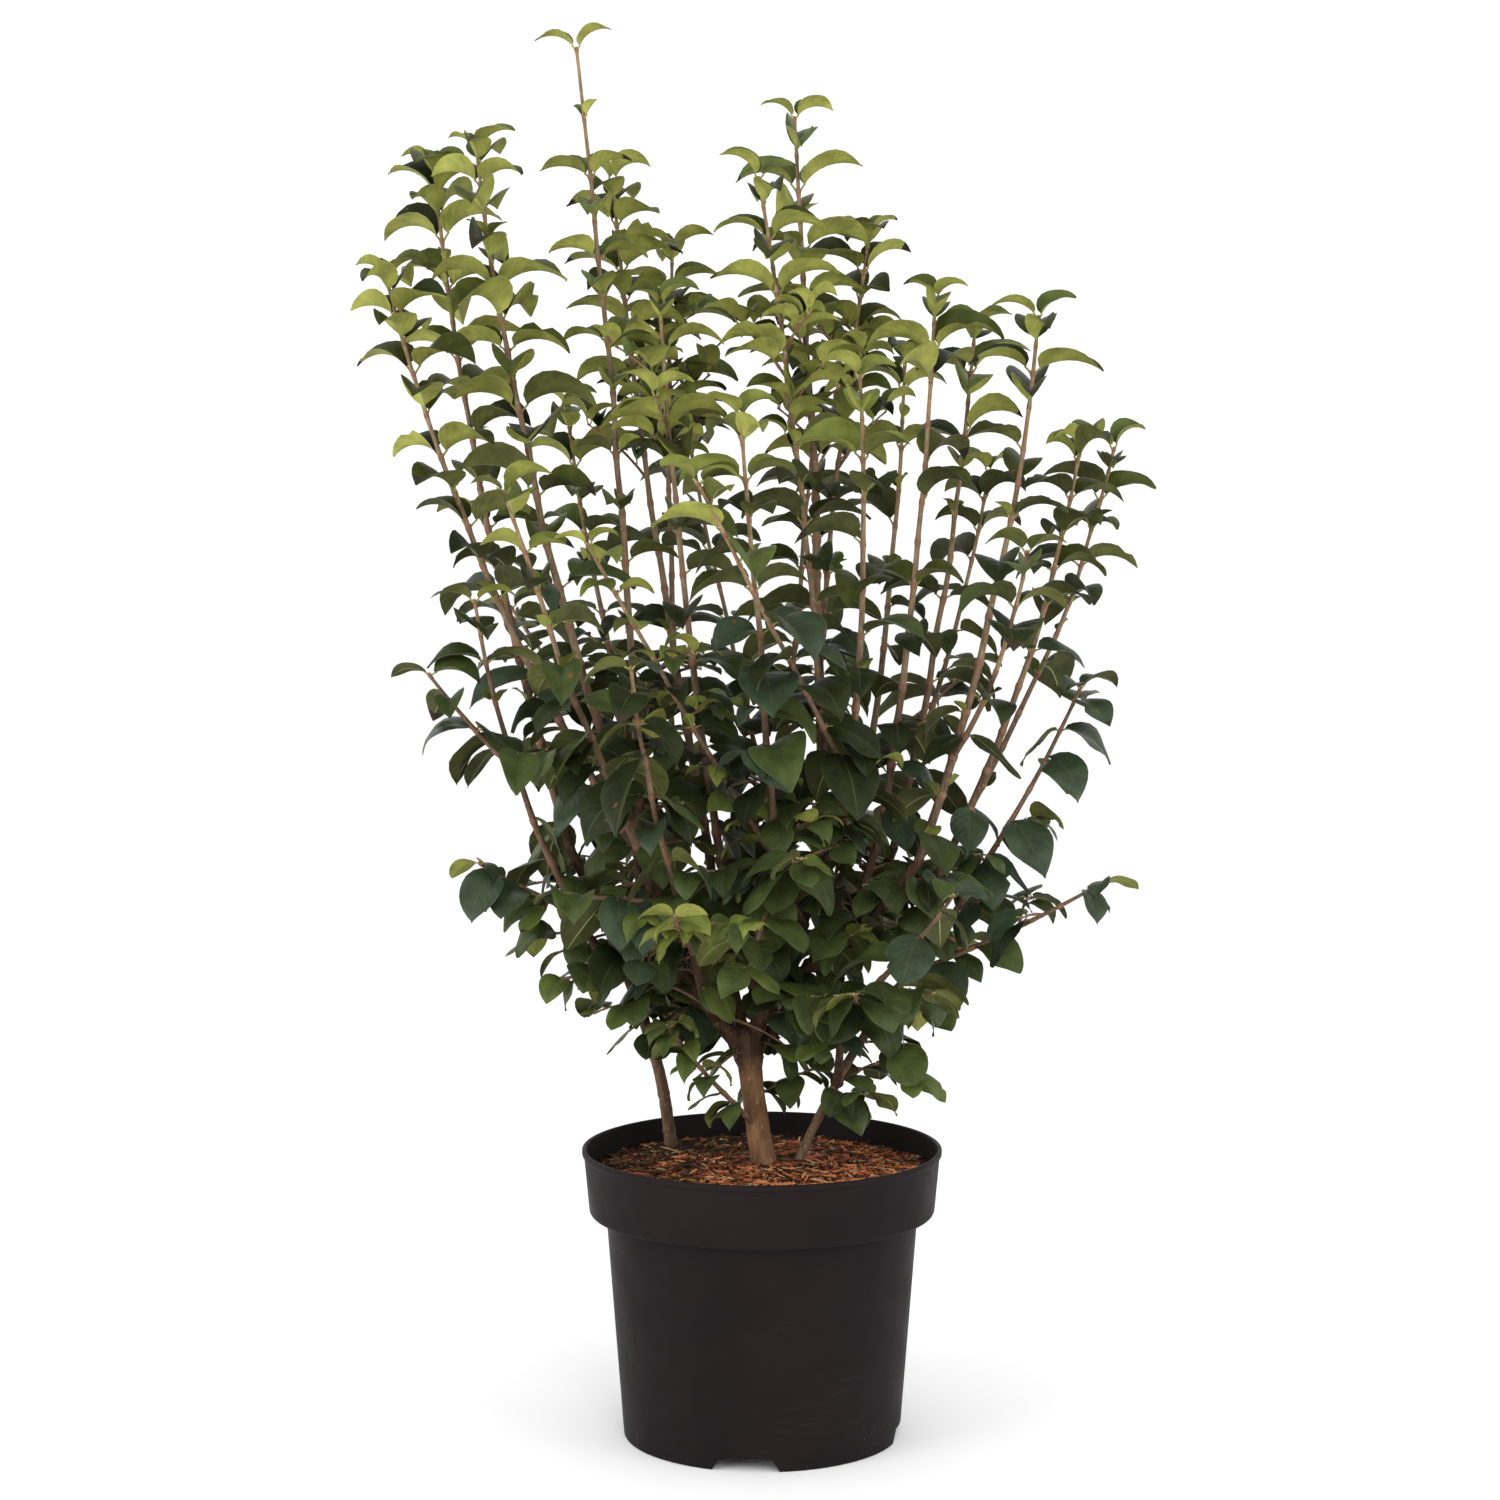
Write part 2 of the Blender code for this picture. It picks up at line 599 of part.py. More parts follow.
class Foliage:
    """Places the shoots, twigs and leaves of all masses, each clear of everything placed before."""

    def __init__(self, limbs, solids):
        self.limbs = limbs
        self.placed = []
        self.pieces = {mass.name: [] for mass in MASSES}
        self.shoots = {mass.name: [] for mass in MASSES}
        for item in solids:
            self.note(mesh_of(item))

    def note(self, mesh):
        """Remembers a mesh, and returns the number that it is known by."""
        verts, faces = mesh
        middle = sum(verts, Vector()) / len(verts)
        radius = max((vert - middle).length for vert in verts)
        self.placed.append((middle, radius, BVHTree.FromPolygons(verts, faces)))
        return len(self.placed) - 1

    def is_free(self, mesh, besides):
        verts, faces = mesh
        middle = sum(verts, Vector()) / len(verts)
        radius = max((vert - middle).length for vert in verts)
        tree = BVHTree.FromPolygons(verts, faces)
        for number, (other, reach, other_tree) in enumerate(self.placed):
            if number in besides or (other - middle).length > reach + radius:
                continue
            if tree.overlap(other_tree):
                return False
        return True

    def lay_shoots(self, mass):
        """The main shoots of a mass: the first grows on from its limb, the others fork from it."""
        start = self.limbs.start_on(mass.limb, mass.along)
        for number, shoot in enumerate(mass.shoots):
            if number:
                first = self.shoots[mass.name][0]["line"]
                start = place_along(first, max(LOWEST_FORK, shoot.fork * lengths_along(first)[-1]))[0]
            middle = (start + Vector(shoot.tip)) / 2
            outward = Vector((middle.x, middle.y, 0)).normalized()
            line = bent_line(start, shoot.tip, outward * shoot.bow, SHOOT_STEP)
            foot_radius = SHOOT_FOOT_RADIUS * (FORK_SHARE if number else 1)
            radii = taper(line, foot_radius, SHOOT_TIP_RADIUS)
            mesh = tube(line, radii, SHOOT_SIDES)
            self.shoots[mass.name].append({"line": line, "mesh": mesh, "number": self.note(mesh)})

    def map_spaces(self):
        """A tree of points on every shoot, to tell whose space a point lies in."""
        marks = []
        for index, mass in enumerate(MASSES):
            for shoot in self.shoots[mass.name]:
                whole = lengths_along(shoot["line"])[-1]
                for step in range(int(whole / MARK_STEP) + 1):
                    marks.append((place_along(shoot["line"], step * MARK_STEP)[0], index))
        self.owners = [index for _, index in marks]
        self.space = KDTree(len(marks))
        for number, (point, _) in enumerate(marks):
            self.space.insert(point, number)
        self.space.balance()

    def in_space(self, point, index):
        if math.hypot(point.x, point.y / GOBLET_DEPTH) > goblet_radius(point.z):
            return False
        nearest = self.space.find(point)[2]
        own = self.space.find(point, filter=lambda number: self.owners[number] == index)[2]
        return own <= min(REACH, nearest + LEAN_OVER)

    def add_twigs(self, index, mass, rule):
        """Short side twigs on the low stretches of the shoots."""
        twigs = []
        for shoot in self.shoots[mass.name]:
            whole = lengths_along(shoot["line"])[-1]
            distance = FIRST_PAIR / 2
            turn = rule.uniform(0, math.tau)
            while distance < whole - BARE_TIP:
                foot, direction = place_along(shoot["line"], distance)
                distance += TWIG_SPACING
                turn += TWIG_TURN
                length = rule.uniform(*TWIG_LENGTH)
                wanted = rule.random() < TWIG_SHARE
                if foot.z > TWIGS_UNTIL or not wanted:
                    continue
                out = pair_direction(direction, turn)
                tip = foot + length * (out + UP * rule.uniform(*TWIG_LIFT)).normalized()
                line = [foot, tip]
                mesh = tube(line, taper(line, TWIG_RADIUS, SHOOT_TIP_RADIUS), SHOOT_SIDES)
                if self.in_space(tip, index) and self.is_free(mesh, {shoot["number"]}):
                    twigs.append({"line": line, "mesh": mesh, "number": self.note(mesh)})
        return twigs

    def add_pairs(self, index, shoot, rule, first):
        """Leaves in pairs along one shoot or twig, up to the pair that ends it, where they fit."""
        line = shoot["line"]
        whole = lengths_along(line)[-1]
        count = max(1, round((whole - first) / PAIR_SPACING))
        turn = rule.uniform(0, math.tau)
        leaves = []
        for step in range(count + 1):
            distance = first + (whole - first - 0.003) * step / count
            point, direction = place_along(line, distance)
            turn += math.pi / 2 + rule.uniform(-PAIR_JITTER, PAIR_JITTER)
            ends = step == count
            mates = {shoot["number"]}
            for half_turn in (0, math.pi):
                out = pair_direction(direction, turn + half_turn)
                # The second leaf of a pair sits a little higher than the first
                root = point + direction * (PAIR_OFFSET if half_turn else 0)
                made = self.leaf_at(root, out, ends and whole > 0.12, rule)
                tip = made["plain"][0][1]
                if not self.in_space(tip, index) or not self.is_free(made["thick"], mates):
                    continue
                mates.add(self.note(made["plain"]))
                leaves.append(made["plain"])
        return leaves

    def leaf_at(self, point, out, ends_shoot, rule):
        high = ease(LOW_UNTIL, HIGH_FROM, point.z)
        size = TIP_LEAF if ends_shoot else between(LOW_LEAF, HIGH_LEAF, high)
        size *= rule.uniform(*LENGTH_RANGE)
        lift = TIP_LIFT if ends_shoot else 0
        rise = between(LOW_RISE, HIGH_RISE, high) + rule.uniform(-RISE_RANGE, RISE_RANGE) + lift
        droop = between(LOW_DROOP, HIGH_DROOP, high) + rule.uniform(-DROOP_RANGE, DROOP_RANGE) - lift
        fold = between(LOW_FOLD, HIGH_FOLD, high)
        # The root is sunk just past the middle of its twig
        root = point - out * ROOT_DEPTH
        shape = (root, out, size, math.radians(rise), math.radians(droop), math.radians(fold))
        return {"plain": leaf_mesh(*shape), "thick": leaf_mesh(*shape, extra=2 * CLEAR)}

    def build_mass(self, mass, material):
        """Fuses the shoots, twigs and leaves of one mass into its object."""
        name = "foliage_" + mass.name
        stem = add_object(name, *self.shoots[mass.name][0]["mesh"], material)
        cut_away(stem, self.limbs.cutter(mass.limb))
        others = bpy.data.collections.new("pieces_of_" + mass.name)
        bpy.context.scene.collection.children.link(others)
        for shoot in self.shoots[mass.name][1:]:
            add_object("shoot", *shoot["mesh"], material, others)
        for mesh in self.pieces[mass.name]:
            add_object("piece", *mesh, material, others)
        fuse(stem, others)


def mesh_of(item):
    verts = [vertex.co.copy() for vertex in item.data.vertices]
    return verts, [tuple(face.vertices) for face in item.data.polygons]


def pair_direction(direction, turn):
    """The level way out from a shoot for a leaf turned by an angle round it."""
    across = direction.orthogonal().normalized()
    beside = direction.cross(across)
    out = across * math.cos(turn) + beside * math.sin(turn)
    out.z = 0
    return out.normalized()


def main():
    clear_scene()
    plastic = plain_material("pot_plastic", (0.022, 0.021, 0.023), 0.55)
    earth = plain_material("bark_mulch", (0.19, 0.075, 0.035), 0.95)
    bark = plain_material("bark", (0.21, 0.13, 0.095), 0.80)
    green = plain_material("leaf", (0.060, 0.110, 0.035), 0.55)
    pot = make_pot(plastic)
    soil = make_soil(earth)
    limbs = Limbs(bark)
    for stem in STEMS:
        limbs.grow_stem(stem)
    for limb in LIMBS:
        limbs.grow_limb(limb)
    foliage = Foliage(limbs, [pot, soil, *limbs.objects.values()])
    for mass in MASSES:
        foliage.lay_shoots(mass)
    foliage.map_spaces()
    rules = {mass.name: random.Random(100 + index) for index, mass in enumerate(MASSES)}
    twigs = {}
    for index, mass in enumerate(MASSES):
        twigs[mass.name] = foliage.add_twigs(index, mass, rules[mass.name])
    for index, mass in enumerate(MASSES):
        pieces = foliage.pieces[mass.name]
        for shoot in foliage.shoots[mass.name]:
            pieces += foliage.add_pairs(index, shoot, rules[mass.name], FIRST_PAIR)
        for twig in twigs[mass.name]:
            leaves = foliage.add_pairs(index, twig, rules[mass.name], FIRST_PAIR / 2)
            if leaves:
                pieces += [twig["mesh"], *leaves]
    for mass in MASSES:
        foliage.build_mass(mass, green)


main()
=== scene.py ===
"""The looks of a lilac shrub in a round nursery pot.

The pot, the soil, the bark, the canes and the leaves are made here in fine meshes, each in the
place of the plain solid that it stands for. Metres, +Z up, and the front of the plant faces -Y.
"""

import json
import math
import random
from collections import namedtuple

import bmesh
import bpy
import numpy as np
from mathutils import Matrix, Vector, noise
from mathutils.bvhtree import BVHTree
from mathutils.kdtree import KDTree

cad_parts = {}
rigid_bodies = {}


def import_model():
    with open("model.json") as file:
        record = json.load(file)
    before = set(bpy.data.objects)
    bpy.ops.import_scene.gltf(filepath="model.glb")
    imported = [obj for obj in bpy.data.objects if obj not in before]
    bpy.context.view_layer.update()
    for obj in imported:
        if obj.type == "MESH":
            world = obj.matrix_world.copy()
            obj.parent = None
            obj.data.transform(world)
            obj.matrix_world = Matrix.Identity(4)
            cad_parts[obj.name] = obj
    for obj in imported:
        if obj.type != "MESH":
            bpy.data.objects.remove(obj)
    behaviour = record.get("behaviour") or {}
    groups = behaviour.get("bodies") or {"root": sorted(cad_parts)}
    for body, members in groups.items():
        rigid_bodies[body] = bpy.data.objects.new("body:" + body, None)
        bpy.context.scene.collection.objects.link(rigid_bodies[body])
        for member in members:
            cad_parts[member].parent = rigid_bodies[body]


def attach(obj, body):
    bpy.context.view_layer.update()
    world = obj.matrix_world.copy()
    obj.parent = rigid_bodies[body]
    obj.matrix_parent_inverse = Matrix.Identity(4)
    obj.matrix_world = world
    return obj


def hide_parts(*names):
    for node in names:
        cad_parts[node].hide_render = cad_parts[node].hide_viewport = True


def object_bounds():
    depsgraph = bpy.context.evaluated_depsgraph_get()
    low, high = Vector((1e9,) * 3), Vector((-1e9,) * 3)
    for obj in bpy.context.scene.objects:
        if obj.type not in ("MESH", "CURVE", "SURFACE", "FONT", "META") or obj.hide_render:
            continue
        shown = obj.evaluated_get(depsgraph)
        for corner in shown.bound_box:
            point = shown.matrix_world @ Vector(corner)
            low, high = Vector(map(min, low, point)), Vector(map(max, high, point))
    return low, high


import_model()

CAD_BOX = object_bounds()
SEED = 132
UP = Vector((0, 0, 1))
noise.seed_set(1)

# The camera, at the photograph's viewing angle
CAMERA_PLACE = (-0.0093, -2.492, 0.753)
CAMERA_PITCH = math.radians(4.975)
CAMERA_LENS = 77.9
SENSOR = 36.0

# The stage. Each light has a name, a place, a size and a power
FLOOR_SIZE = 60
FLOOR_COLOUR = (0.93, 0.93, 0.93)
SURROUND_STRENGTH = 1.12
LIGHTS = (
    ("light_left", (-2.3, -1.7, 0.9), 1.5, 34),
    ("light_right", (2.3, -1.6, 0.9), 1.5, 24),
    ("light_front", (0.4, -2.9, 1.9), 1.2, 22),
)
LIGHTS_FACE = (0, 0, 0.55)

# The pot, in the sizes of its solid
POT_HEIGHT = 0.226
RIM_RADIUS = 0.140
RIM_BEAD = 0.0034
INNER_RIM = RIM_RADIUS - RIM_BEAD
LIP_FOOT = POT_HEIGHT - 0.0042
COLLAR_DEPTH = 0.0505
COLLAR_FOOT = POT_HEIGHT - COLLAR_DEPTH
COLLAR_FOOT_RADIUS = 0.1342
BODY_TOP_RADIUS = 0.1214
BODY_FOOT_RADIUS = 0.1080
WALL = 0.0024
FLOOR_HEIGHT = 0.0125
NOTCHES = 4
NOTCH_FOOT_WIDTH = 0.052
NOTCH_TOP_WIDTH = 0.039
NOTCH_HEIGHT = 0.0110
NOTCH_TURN = math.radians(-6.8)
POT_SIDES = 240
CORNER_STEPS = 5
PLASTIC = (0.0106, 0.0074, 0.0080)
PLASTIC_RUBBED = (0.034, 0.030, 0.031)
PLASTIC_DUST = (0.080, 0.068, 0.062)

# The soil
SOIL_TOP = 0.2120
SOIL_EDGE = 0.2060
SOIL_FLAT_RADIUS = 0.042
SOIL_RINGS = 70
SOIL_SIDES = 200
SOIL_RELIEF = 0.0016
# It is heaped this high round each stem, and this far out
HEAP = 0.0022
HEAP_REACH = 0.020
SOIL_COLOUR = (0.06, 0.03, 0.015)
SOIL_TONES = (
    (0.30, (0.010, 0.006, 0.004)), (0.52, (0.040, 0.018, 0.009)),
    (0.66, (0.12, 0.046, 0.020)), (0.80, (0.20, 0.10, 0.05)),
)

# What lies on the soil. The width is a share of the length for crumbs, and a radius for the last three kinds
Litter = namedtuple("Litter", "count length width tilt lift")
CRUMBS = Litter(1300, (0.0025, 0.0065), (0.3, 0.7), 0.6, (0.0, 0.0012))
SLIVERS = Litter(1600, (0.008, 0.021), (0.0009, 0.0024), 0.22, (0.0006, 0.0026))
FLAKES = Litter(420, (0.011, 0.024), (0.0022, 0.0046), 0.16, (0.0012, 0.0028))
FIBRES = Litter(1500, (0.005, 0.015), (0.00018, 0.0004), 0.35, (0.0010, 0.0024))
STICKS = Litter(26, (0.016, 0.030), (0.0005, 0.0009), 0.16, (0.0010, 0.0024))
FLECKS = Litter(40, (0, 0), (0.0007, 0.0019), 0.5, (0.0012, 0.0024))
CHIP_CORNERS = 7
CHIP_THICKNESS = (0.0005, 0.0012)
PALE_FIBRES = 0.10
# The radius of a fibre along it, in shares of its widest
FIBRE_SHAPE = (0.5, 1, 0.9, 1, 0.4)
# Small pieces keep this far from the pot and from a stem's bark
EDGE_ROOM = 0.0012
STEM_ROOM = 0.006
FLECK_COLOUR = (0.46, 0.41, 0.33)
MULCH_SEED = 41
# How common each tone is everywhere, and how much more so at the front, at the rear left and in patches
ChipTone = namedtuple("ChipTone", "name colour share front rear patch")
CHIP_TONES = (
    ChipTone("mulch_dark", (0.050, 0.021, 0.012), 0.7, 0, 2.6, 9.0),
    ChipTone("mulch_brown", (0.180, 0.062, 0.026), 1.3, 0, -0.5, 0),
    ChipTone("mulch_red", (0.360, 0.102, 0.042), 1.5, 0, -1.0, 0),
    ChipTone("mulch_orange", (0.660, 0.255, 0.092), 0.32, 4.2, 0, 0),
    ChipTone("mulch_moss", (0.070, 0.056, 0.018), 0.1, 0, 1.3, 2.0),
    ChipTone("mulch_pale", (0.56, 0.38, 0.22), 0.05, 0.6, 0, 0),
)
MULCH_PALE = len(CHIP_TONES) - 1

# Limbs and canes
LIMB_STEP = 0.0028
LINE_STEP = 0.004
TRUNK_SIDES = 40
LIMB_SIDES = 20
TRUNK_WANDER = 0.0008
LIMB_WANDER = 0.0022
FLARE = 0.0010
FLARE_HEIGHT = 0.014
# The trunk has ridges, a burl low down, and a knob with lumps and wrinkles at its fork
RIDGE = 0.00062
BURL = 0.0011
BURL_PLACE = 0.062
BURL_LENGTH = 0.005
KNOB = 0.0026
KNOB_LENGTH = 0.014
LUMPS = 0.0044
WRINKLES = 0.0005
FORK_LENGTH = 0.020
# The other limbs have flares, rough bark and scars, in shares of their radius, and small dents
LIMB_FLARE = 0.55
LIMB_ROUGH = 0.05
FOOT_ROUGH = 0.16
FOOT_ROUGH_LENGTH = 0.025
SCARS = 0.10
SCAR_SPACING = 0.034
DENTS = 0.0002
CANE_SIDES = 9
TWIG_SIDES = 6
CANE_STEP = 0.014
TWIG_STEP = 0.012
SHOOT_STEP = 0.006
SHOOT_WANDER = 0.0026
TWIG_WANDER = 0.0016
CANE_TIP_RADIUS = 0.00125
TWIG_RADIUS = 0.0013
TWIG_TIP_RADIUS = 0.0007
FORK_RADIUS = 0.0024
LOWEST_FORK = 0.011
# A cane swells at its nodes, where a pair of leaves stands, and has rings of points at these offsets there
NODE_SWELLING = 0.30
NODE_LENGTH = 0.0026
NODE_RINGS = (-0.0038, -0.0014, 0.0009, 0.0032)
NODE_ROOM = 0.0045
NODE_BAND = 0.0024
NODE_RED = (0.205, 0.098, 0.056)
OLD_BARK_UNTIL = 0.60
YOUNG_LENGTH = 0.10
# Painted shade: the bark of the trunk and stems is painted dark from round the fork up, where the leaves
# shade it, along a ragged edge
FORK_SHADE_FROM = 0.297
FORK_SHADE_UNTIL = 0.311
FORK_RAGGED = 0.022
Bark = namedtuple("Bark", "dark light pore")
TRUNK_BARK = Bark((0.100, 0.049, 0.021), (0.242, 0.126, 0.058), (0.33, 0.20, 0.11))
# The boughs' bark is painted dark, as painted shade under the leaves
SHADED_BOUGH_BARK = Bark((0.029, 0.015, 0.0075), (0.098, 0.051, 0.026), (0.18, 0.108, 0.062))
STEM_BARK = Bark((0.092, 0.052, 0.028), (0.208, 0.132, 0.076), (0.30, 0.21, 0.13))
OLD_BARK = Bark((0.080, 0.045, 0.025), (0.192, 0.121, 0.070), (0.27, 0.185, 0.115))
CANE_BARK = Bark((0.134, 0.083, 0.044), (0.272, 0.190, 0.113), (0.36, 0.27, 0.18))
YOUNG_BARK = Bark((0.165, 0.100, 0.048), (0.320, 0.222, 0.118), (0.41, 0.32, 0.19))
# Buds stand over stalks above this height, and are missing from this share of them
BUDS_FROM = 0.45
BUDLESS_SHARE = 0.35
BUD_RINGS = (0, 0.4, 0.75, 1)
BUD_RADII = (0.0006, 0.0010, 0.0007, 0.0001)
BUD_LENGTH = (0.0022, 0.0034)
BUD_SEED = 7
STALK_GREEN = (0.20, 0.20, 0.060)
STALK_FRESH = (0.27, 0.28, 0.070)
STALK_DARK = (0.11, 0.10, 0.040)
# A stalk's rings along it, in shares of its length, and its radius there, in shares of its plain one
STALK_RINGS = (0, 0.2, 0.6, 1)
STALK_SHAPE = (1.5, 1.0, 0.85, 0.9)
STALK_GREEN_FROM = 0.55

# Leaves stand in pairs, each pair turned a quarter from the last
LOW_SPACING = 0.0345
HIGH_SPACING = 0.0255
TWIG_CLOSENESS = 0.56
FOOT_CLOSENESS = 0.62
CLOSE_SHARE = 0.82
CLOSE_FROM = 0.76
# Between the first two heights the spacing turns from low to high, between the others masses open up
SPACING_TURNS = (0.76, 0.90)
OPENING = (0.90, 1.00)
SPACING_RANGE = (0.84, 1.18)
TIP_CROWDING = 0.42
CROWDED_LENGTH = 0.10
LAST_GAP = 0.006
TIP_PAIR = 0.0015
PAIR_JITTER = math.radians(15)
# How far a leaf sways from its place in the pair, low down and high up, and turns to the outside
SWAY = (0.35, 0.20)
OUTWARD_PULL = (0.35, 1.0)
# The share of a twig's pairs that swell it
TWIG_NODE_SHARE = 0.7
# The last pair of a main shoot stands to the sides, give or take this much
TURN_SPREAD = math.radians(32)
FIRST_PAIR = 0.022
TRIES = 4
# Lengths from a main shoot's tip: it bears small tufts below the first, and loses no leaf above the second
TUFTS_FROM = 0.05
KEPT_TIP = 0.08
TUFT_SHARE = 0.16
TUFT_SIZE = (0.45, 0.7)
TUFT_RISE = math.radians(65)
TUFT_DROOP = math.radians(-10)

# The lengths of leaves
LOW_LEAF = 0.046
HIGH_LEAF = 0.047
TIP_LEAF = 0.029
BIG_LEAF = 1.34
BIG_SHARE = 0.26
BIG_FROM = (0.41, 0.47)
BIG_UNTIL = (0.68, 0.54)
FRESH_LEAF = 0.66
TWIG_LEAVES = (0.68, 0.84, 1.0)
LENGTH_RANGE = (0.84, 1.14)
# Between these heights the lengths differ more
MIXED_RANGE = (0.42, 0.78)
MIXED_LENGTHS = (0.78, 1.10)
# Leaves near the soil are shorter, by this share up to the first height and less up to the second
FOOT_LENGTH = 0.86
FOOT_HEIGHTS = (0.28, 0.38)

# Below the first height leaves are flat and hang; above the second they are folded and arch.
# Angles are in degrees. The stalk is steep and thick; rise and droop stray by loose
LOW_UNTIL = 0.46
HIGH_FROM = 0.76
Habit = namedtuple("Habit", "rise droop loose fold curl lobe wave roll twist steep thick dry")
LOW_HABIT = Habit(-22, 74, 30, 18, 12, 0.11, 0.054, 36, 36, 30, 0.00075, 0.02)
HIGH_HABIT = Habit(42, 35, 17, 57, 14, 0.02, 0.034, 18, 32, 62, 0.00095, 0.14)
FOLD_LOOSE = 14
YOUNG_RISE = 18
YOUNG_DROOP = 12
# A leaf bends at least this much from its foot to its tip, in radians
LEAST_BEND = 0.15
# Young leaves are those within about this length of a shoot's tip
YOUNG_REACH = 0.022
YOUNG_FROM = 0.75
STALK_SHARE = 0.17
STALK_RANGE = (0.85, 1.15)
TWIG_STALK = 0.75
# The lowest leaves are round, those above them and the young ones drawn out to a point
ROUND_UNTIL = 0.30
DRAWN_FROM = 0.48
ROUND_POINT = (0.56, 0.95)
DRAWN_POINT = (0.78, 1.20)
HIGH_POINT = 1.0
FRESH_POINT = 1.1
ROUND_WIDTH = 0.43
DRAWN_WIDTH = 0.40
HIGH_WIDTH = 0.385
FRESH_WIDTH = 0.33
YOUNG_NARROWING = 0.02
WIDTH_RANGE = (0.88, 1.10)
FRESH_RISE = 30
LEAST_WAVE = 0.008
BITTEN_SHARE = 0.12
BITE_DEPTH = (0.18, 0.45)
BITE_LENGTH = 0.07
# A bite in the margin lies at one of these shares of the length
BITE_PLACES = (0.44, 0.56, 0.68)

# The mesh of a leaf, and the coarser one to test its room with
LEAF_ROWS = np.array([0, 0.04, 0.11, 0.21, 0.32, 0.44, 0.56, 0.68, 0.79, 0.88, 0.95, 1.0])
LEAF_COLUMNS = np.array([-1, -0.66, -0.33, -0.03, 0.03, 0.33, 0.66, 1.0])
TEST_ROWS = np.array([0.06, 0.33, 0.64, 0.97])
TEST_COLUMNS = np.array([-1.0, 0.0, 1.0])
LEAF_THICKNESS = 0.00042
# How many waves the margin has, in radians, and how far along the leaf its lobes at the foot reach
WAVES = 9
LOBE_LENGTH = 0.13

# The pattern of side veins, and the paler margin, which is painted rim light
VEINS = 6.5
VEIN_LEAN = 0.34
VEIN_SHARE = 0.17
RIM_LIGHT_SHARE = 0.55

# Leaf tones: the upper sides, then the under sides, each with its vein colour and its gloss
TONES = (
    ("leaf_fresh", (0.127, 0.151, 0.028), (0.18, 0.24, 0.06), 0.13),
    ("leaf_light", (0.073, 0.094, 0.021), (0.12, 0.16, 0.050), 0.12),
    ("leaf_middle", (0.047, 0.066, 0.018), (0.085, 0.115, 0.038), 0.11),
    ("leaf_dark", (0.030, 0.041, 0.012), (0.060, 0.080, 0.030), 0.09),
    ("leaf_warm", (0.054, 0.065, 0.013), (0.090, 0.110, 0.030), 0.08),
    ("leaf_warm_dark", (0.035, 0.041, 0.008), (0.062, 0.075, 0.022), 0.07),
    ("leaf_blue", (0.029, 0.046, 0.022), (0.052, 0.078, 0.040), 0.20),
    # Painted shade: the deepest green stands for upper sides in the plant's shade
    ("leaf_deep", (0.018, 0.024, 0.008), (0.038, 0.052, 0.020), 0.07),
    # Painted light and shade: the under sides are lit and shaded copies of one colour, and the brightest
    # also stands in for light shining through the leaf
    ("under_bright", (0.279, 0.287, 0.065), (0.34, 0.35, 0.10), 0.12),
    ("under_middle", (0.196, 0.203, 0.044), (0.255, 0.265, 0.080), 0.12),
    ("under_dull", (0.099, 0.105, 0.029), (0.165, 0.17, 0.058), 0.12),
    ("under_pale", (0.055, 0.061, 0.020), (0.10, 0.110, 0.044), 0.10),
)
TONE_NUMBERS = {tone[0]: number for number, tone in enumerate(TONES)}
RIB_PALE = len(TONES)
RIB_DEEP = RIB_PALE + 1
DRY = RIB_PALE + 2
RIB_PALE_COLOUR = (0.26, 0.27, 0.10)
RIB_DEEP_COLOUR = (0.044, 0.060, 0.021)
DRY_COLOUR = (0.030, 0.021, 0.012)
LEAF_SPOTS = (0.13, 0.060, 0.022)
UNDER_SIDES = ("under_pale", "under_dull", "under_middle", "under_bright")

# The share of the deepest green, which is painted shade, low down and high up, and how much more of it some
# parts have where they lie in shade: the inside, a belt where the plant closes, the upper part and its right
# side
SHADED_SHARES = (0.06, 0.13)
SHADE_INSIDE = 0.28
SHADE_BELT = 0.60
BELT_HEIGHT = 0.575
BELT_REACH = 0.060
SHADE_UPPER = 0.34
SHADE_RIGHT = 0.38
# Under sides are painted brighter high up, as painted light where more light falls on them, and are brighter
# on young leaves, and stray by some steps
UNDER_LIGHT_HEIGHTS = (0.68, 0.86)
BRIGHT_YOUNG = 0.35
BRIGHT_STRAY = (-0.28, 0.34)

# Where leaves are missing: from left to right, from low to high, and the share that is gone
THIN_ZONES = (
    ((0.06, 0.40), (0.49, 0.79), 0.44),
    ((0.14, 0.40), (0.49, 0.61), 0.66),
    ((0.08, 0.40), (0.20, 0.41), 0.52),
    ((-0.40, -0.16), (0.42, 0.585), 0.70),
    ((-0.40, -0.08), (0.20, 0.46), 0.56),
    ((-0.09, 0.00), (0.65, 0.74), 0.36),
    ((0.07, 0.16), (0.86, 0.99), 0.25),
)

# Short side twigs fill the lower part of each mass
TWIGS_UNTIL = 0.565
FLANK_TWIGS_UNTIL = 0.47
FLANK = (0.08, 0.19)
LEFT_TWIGS = (-0.165, -0.005)
LEFT_TWIGS_UNTIL = 0.607
TWIG_SPACING = 0.022
TWIG_SHARE = 0.75
TWIG_LENGTH = (0.030, 0.080)
TWIG_TURN = math.radians(137)
TWIG_LIFT = (-0.15, 0.55)
TWIG_BOW = 0.06
BARE_TIP = 0.05
# The trunk stands clear of leaves up to its fork
TRUNK_MIDDLE = -0.006
CLEAR_ASIDE = 0.026
CLEAR_UNTIL = 0.335
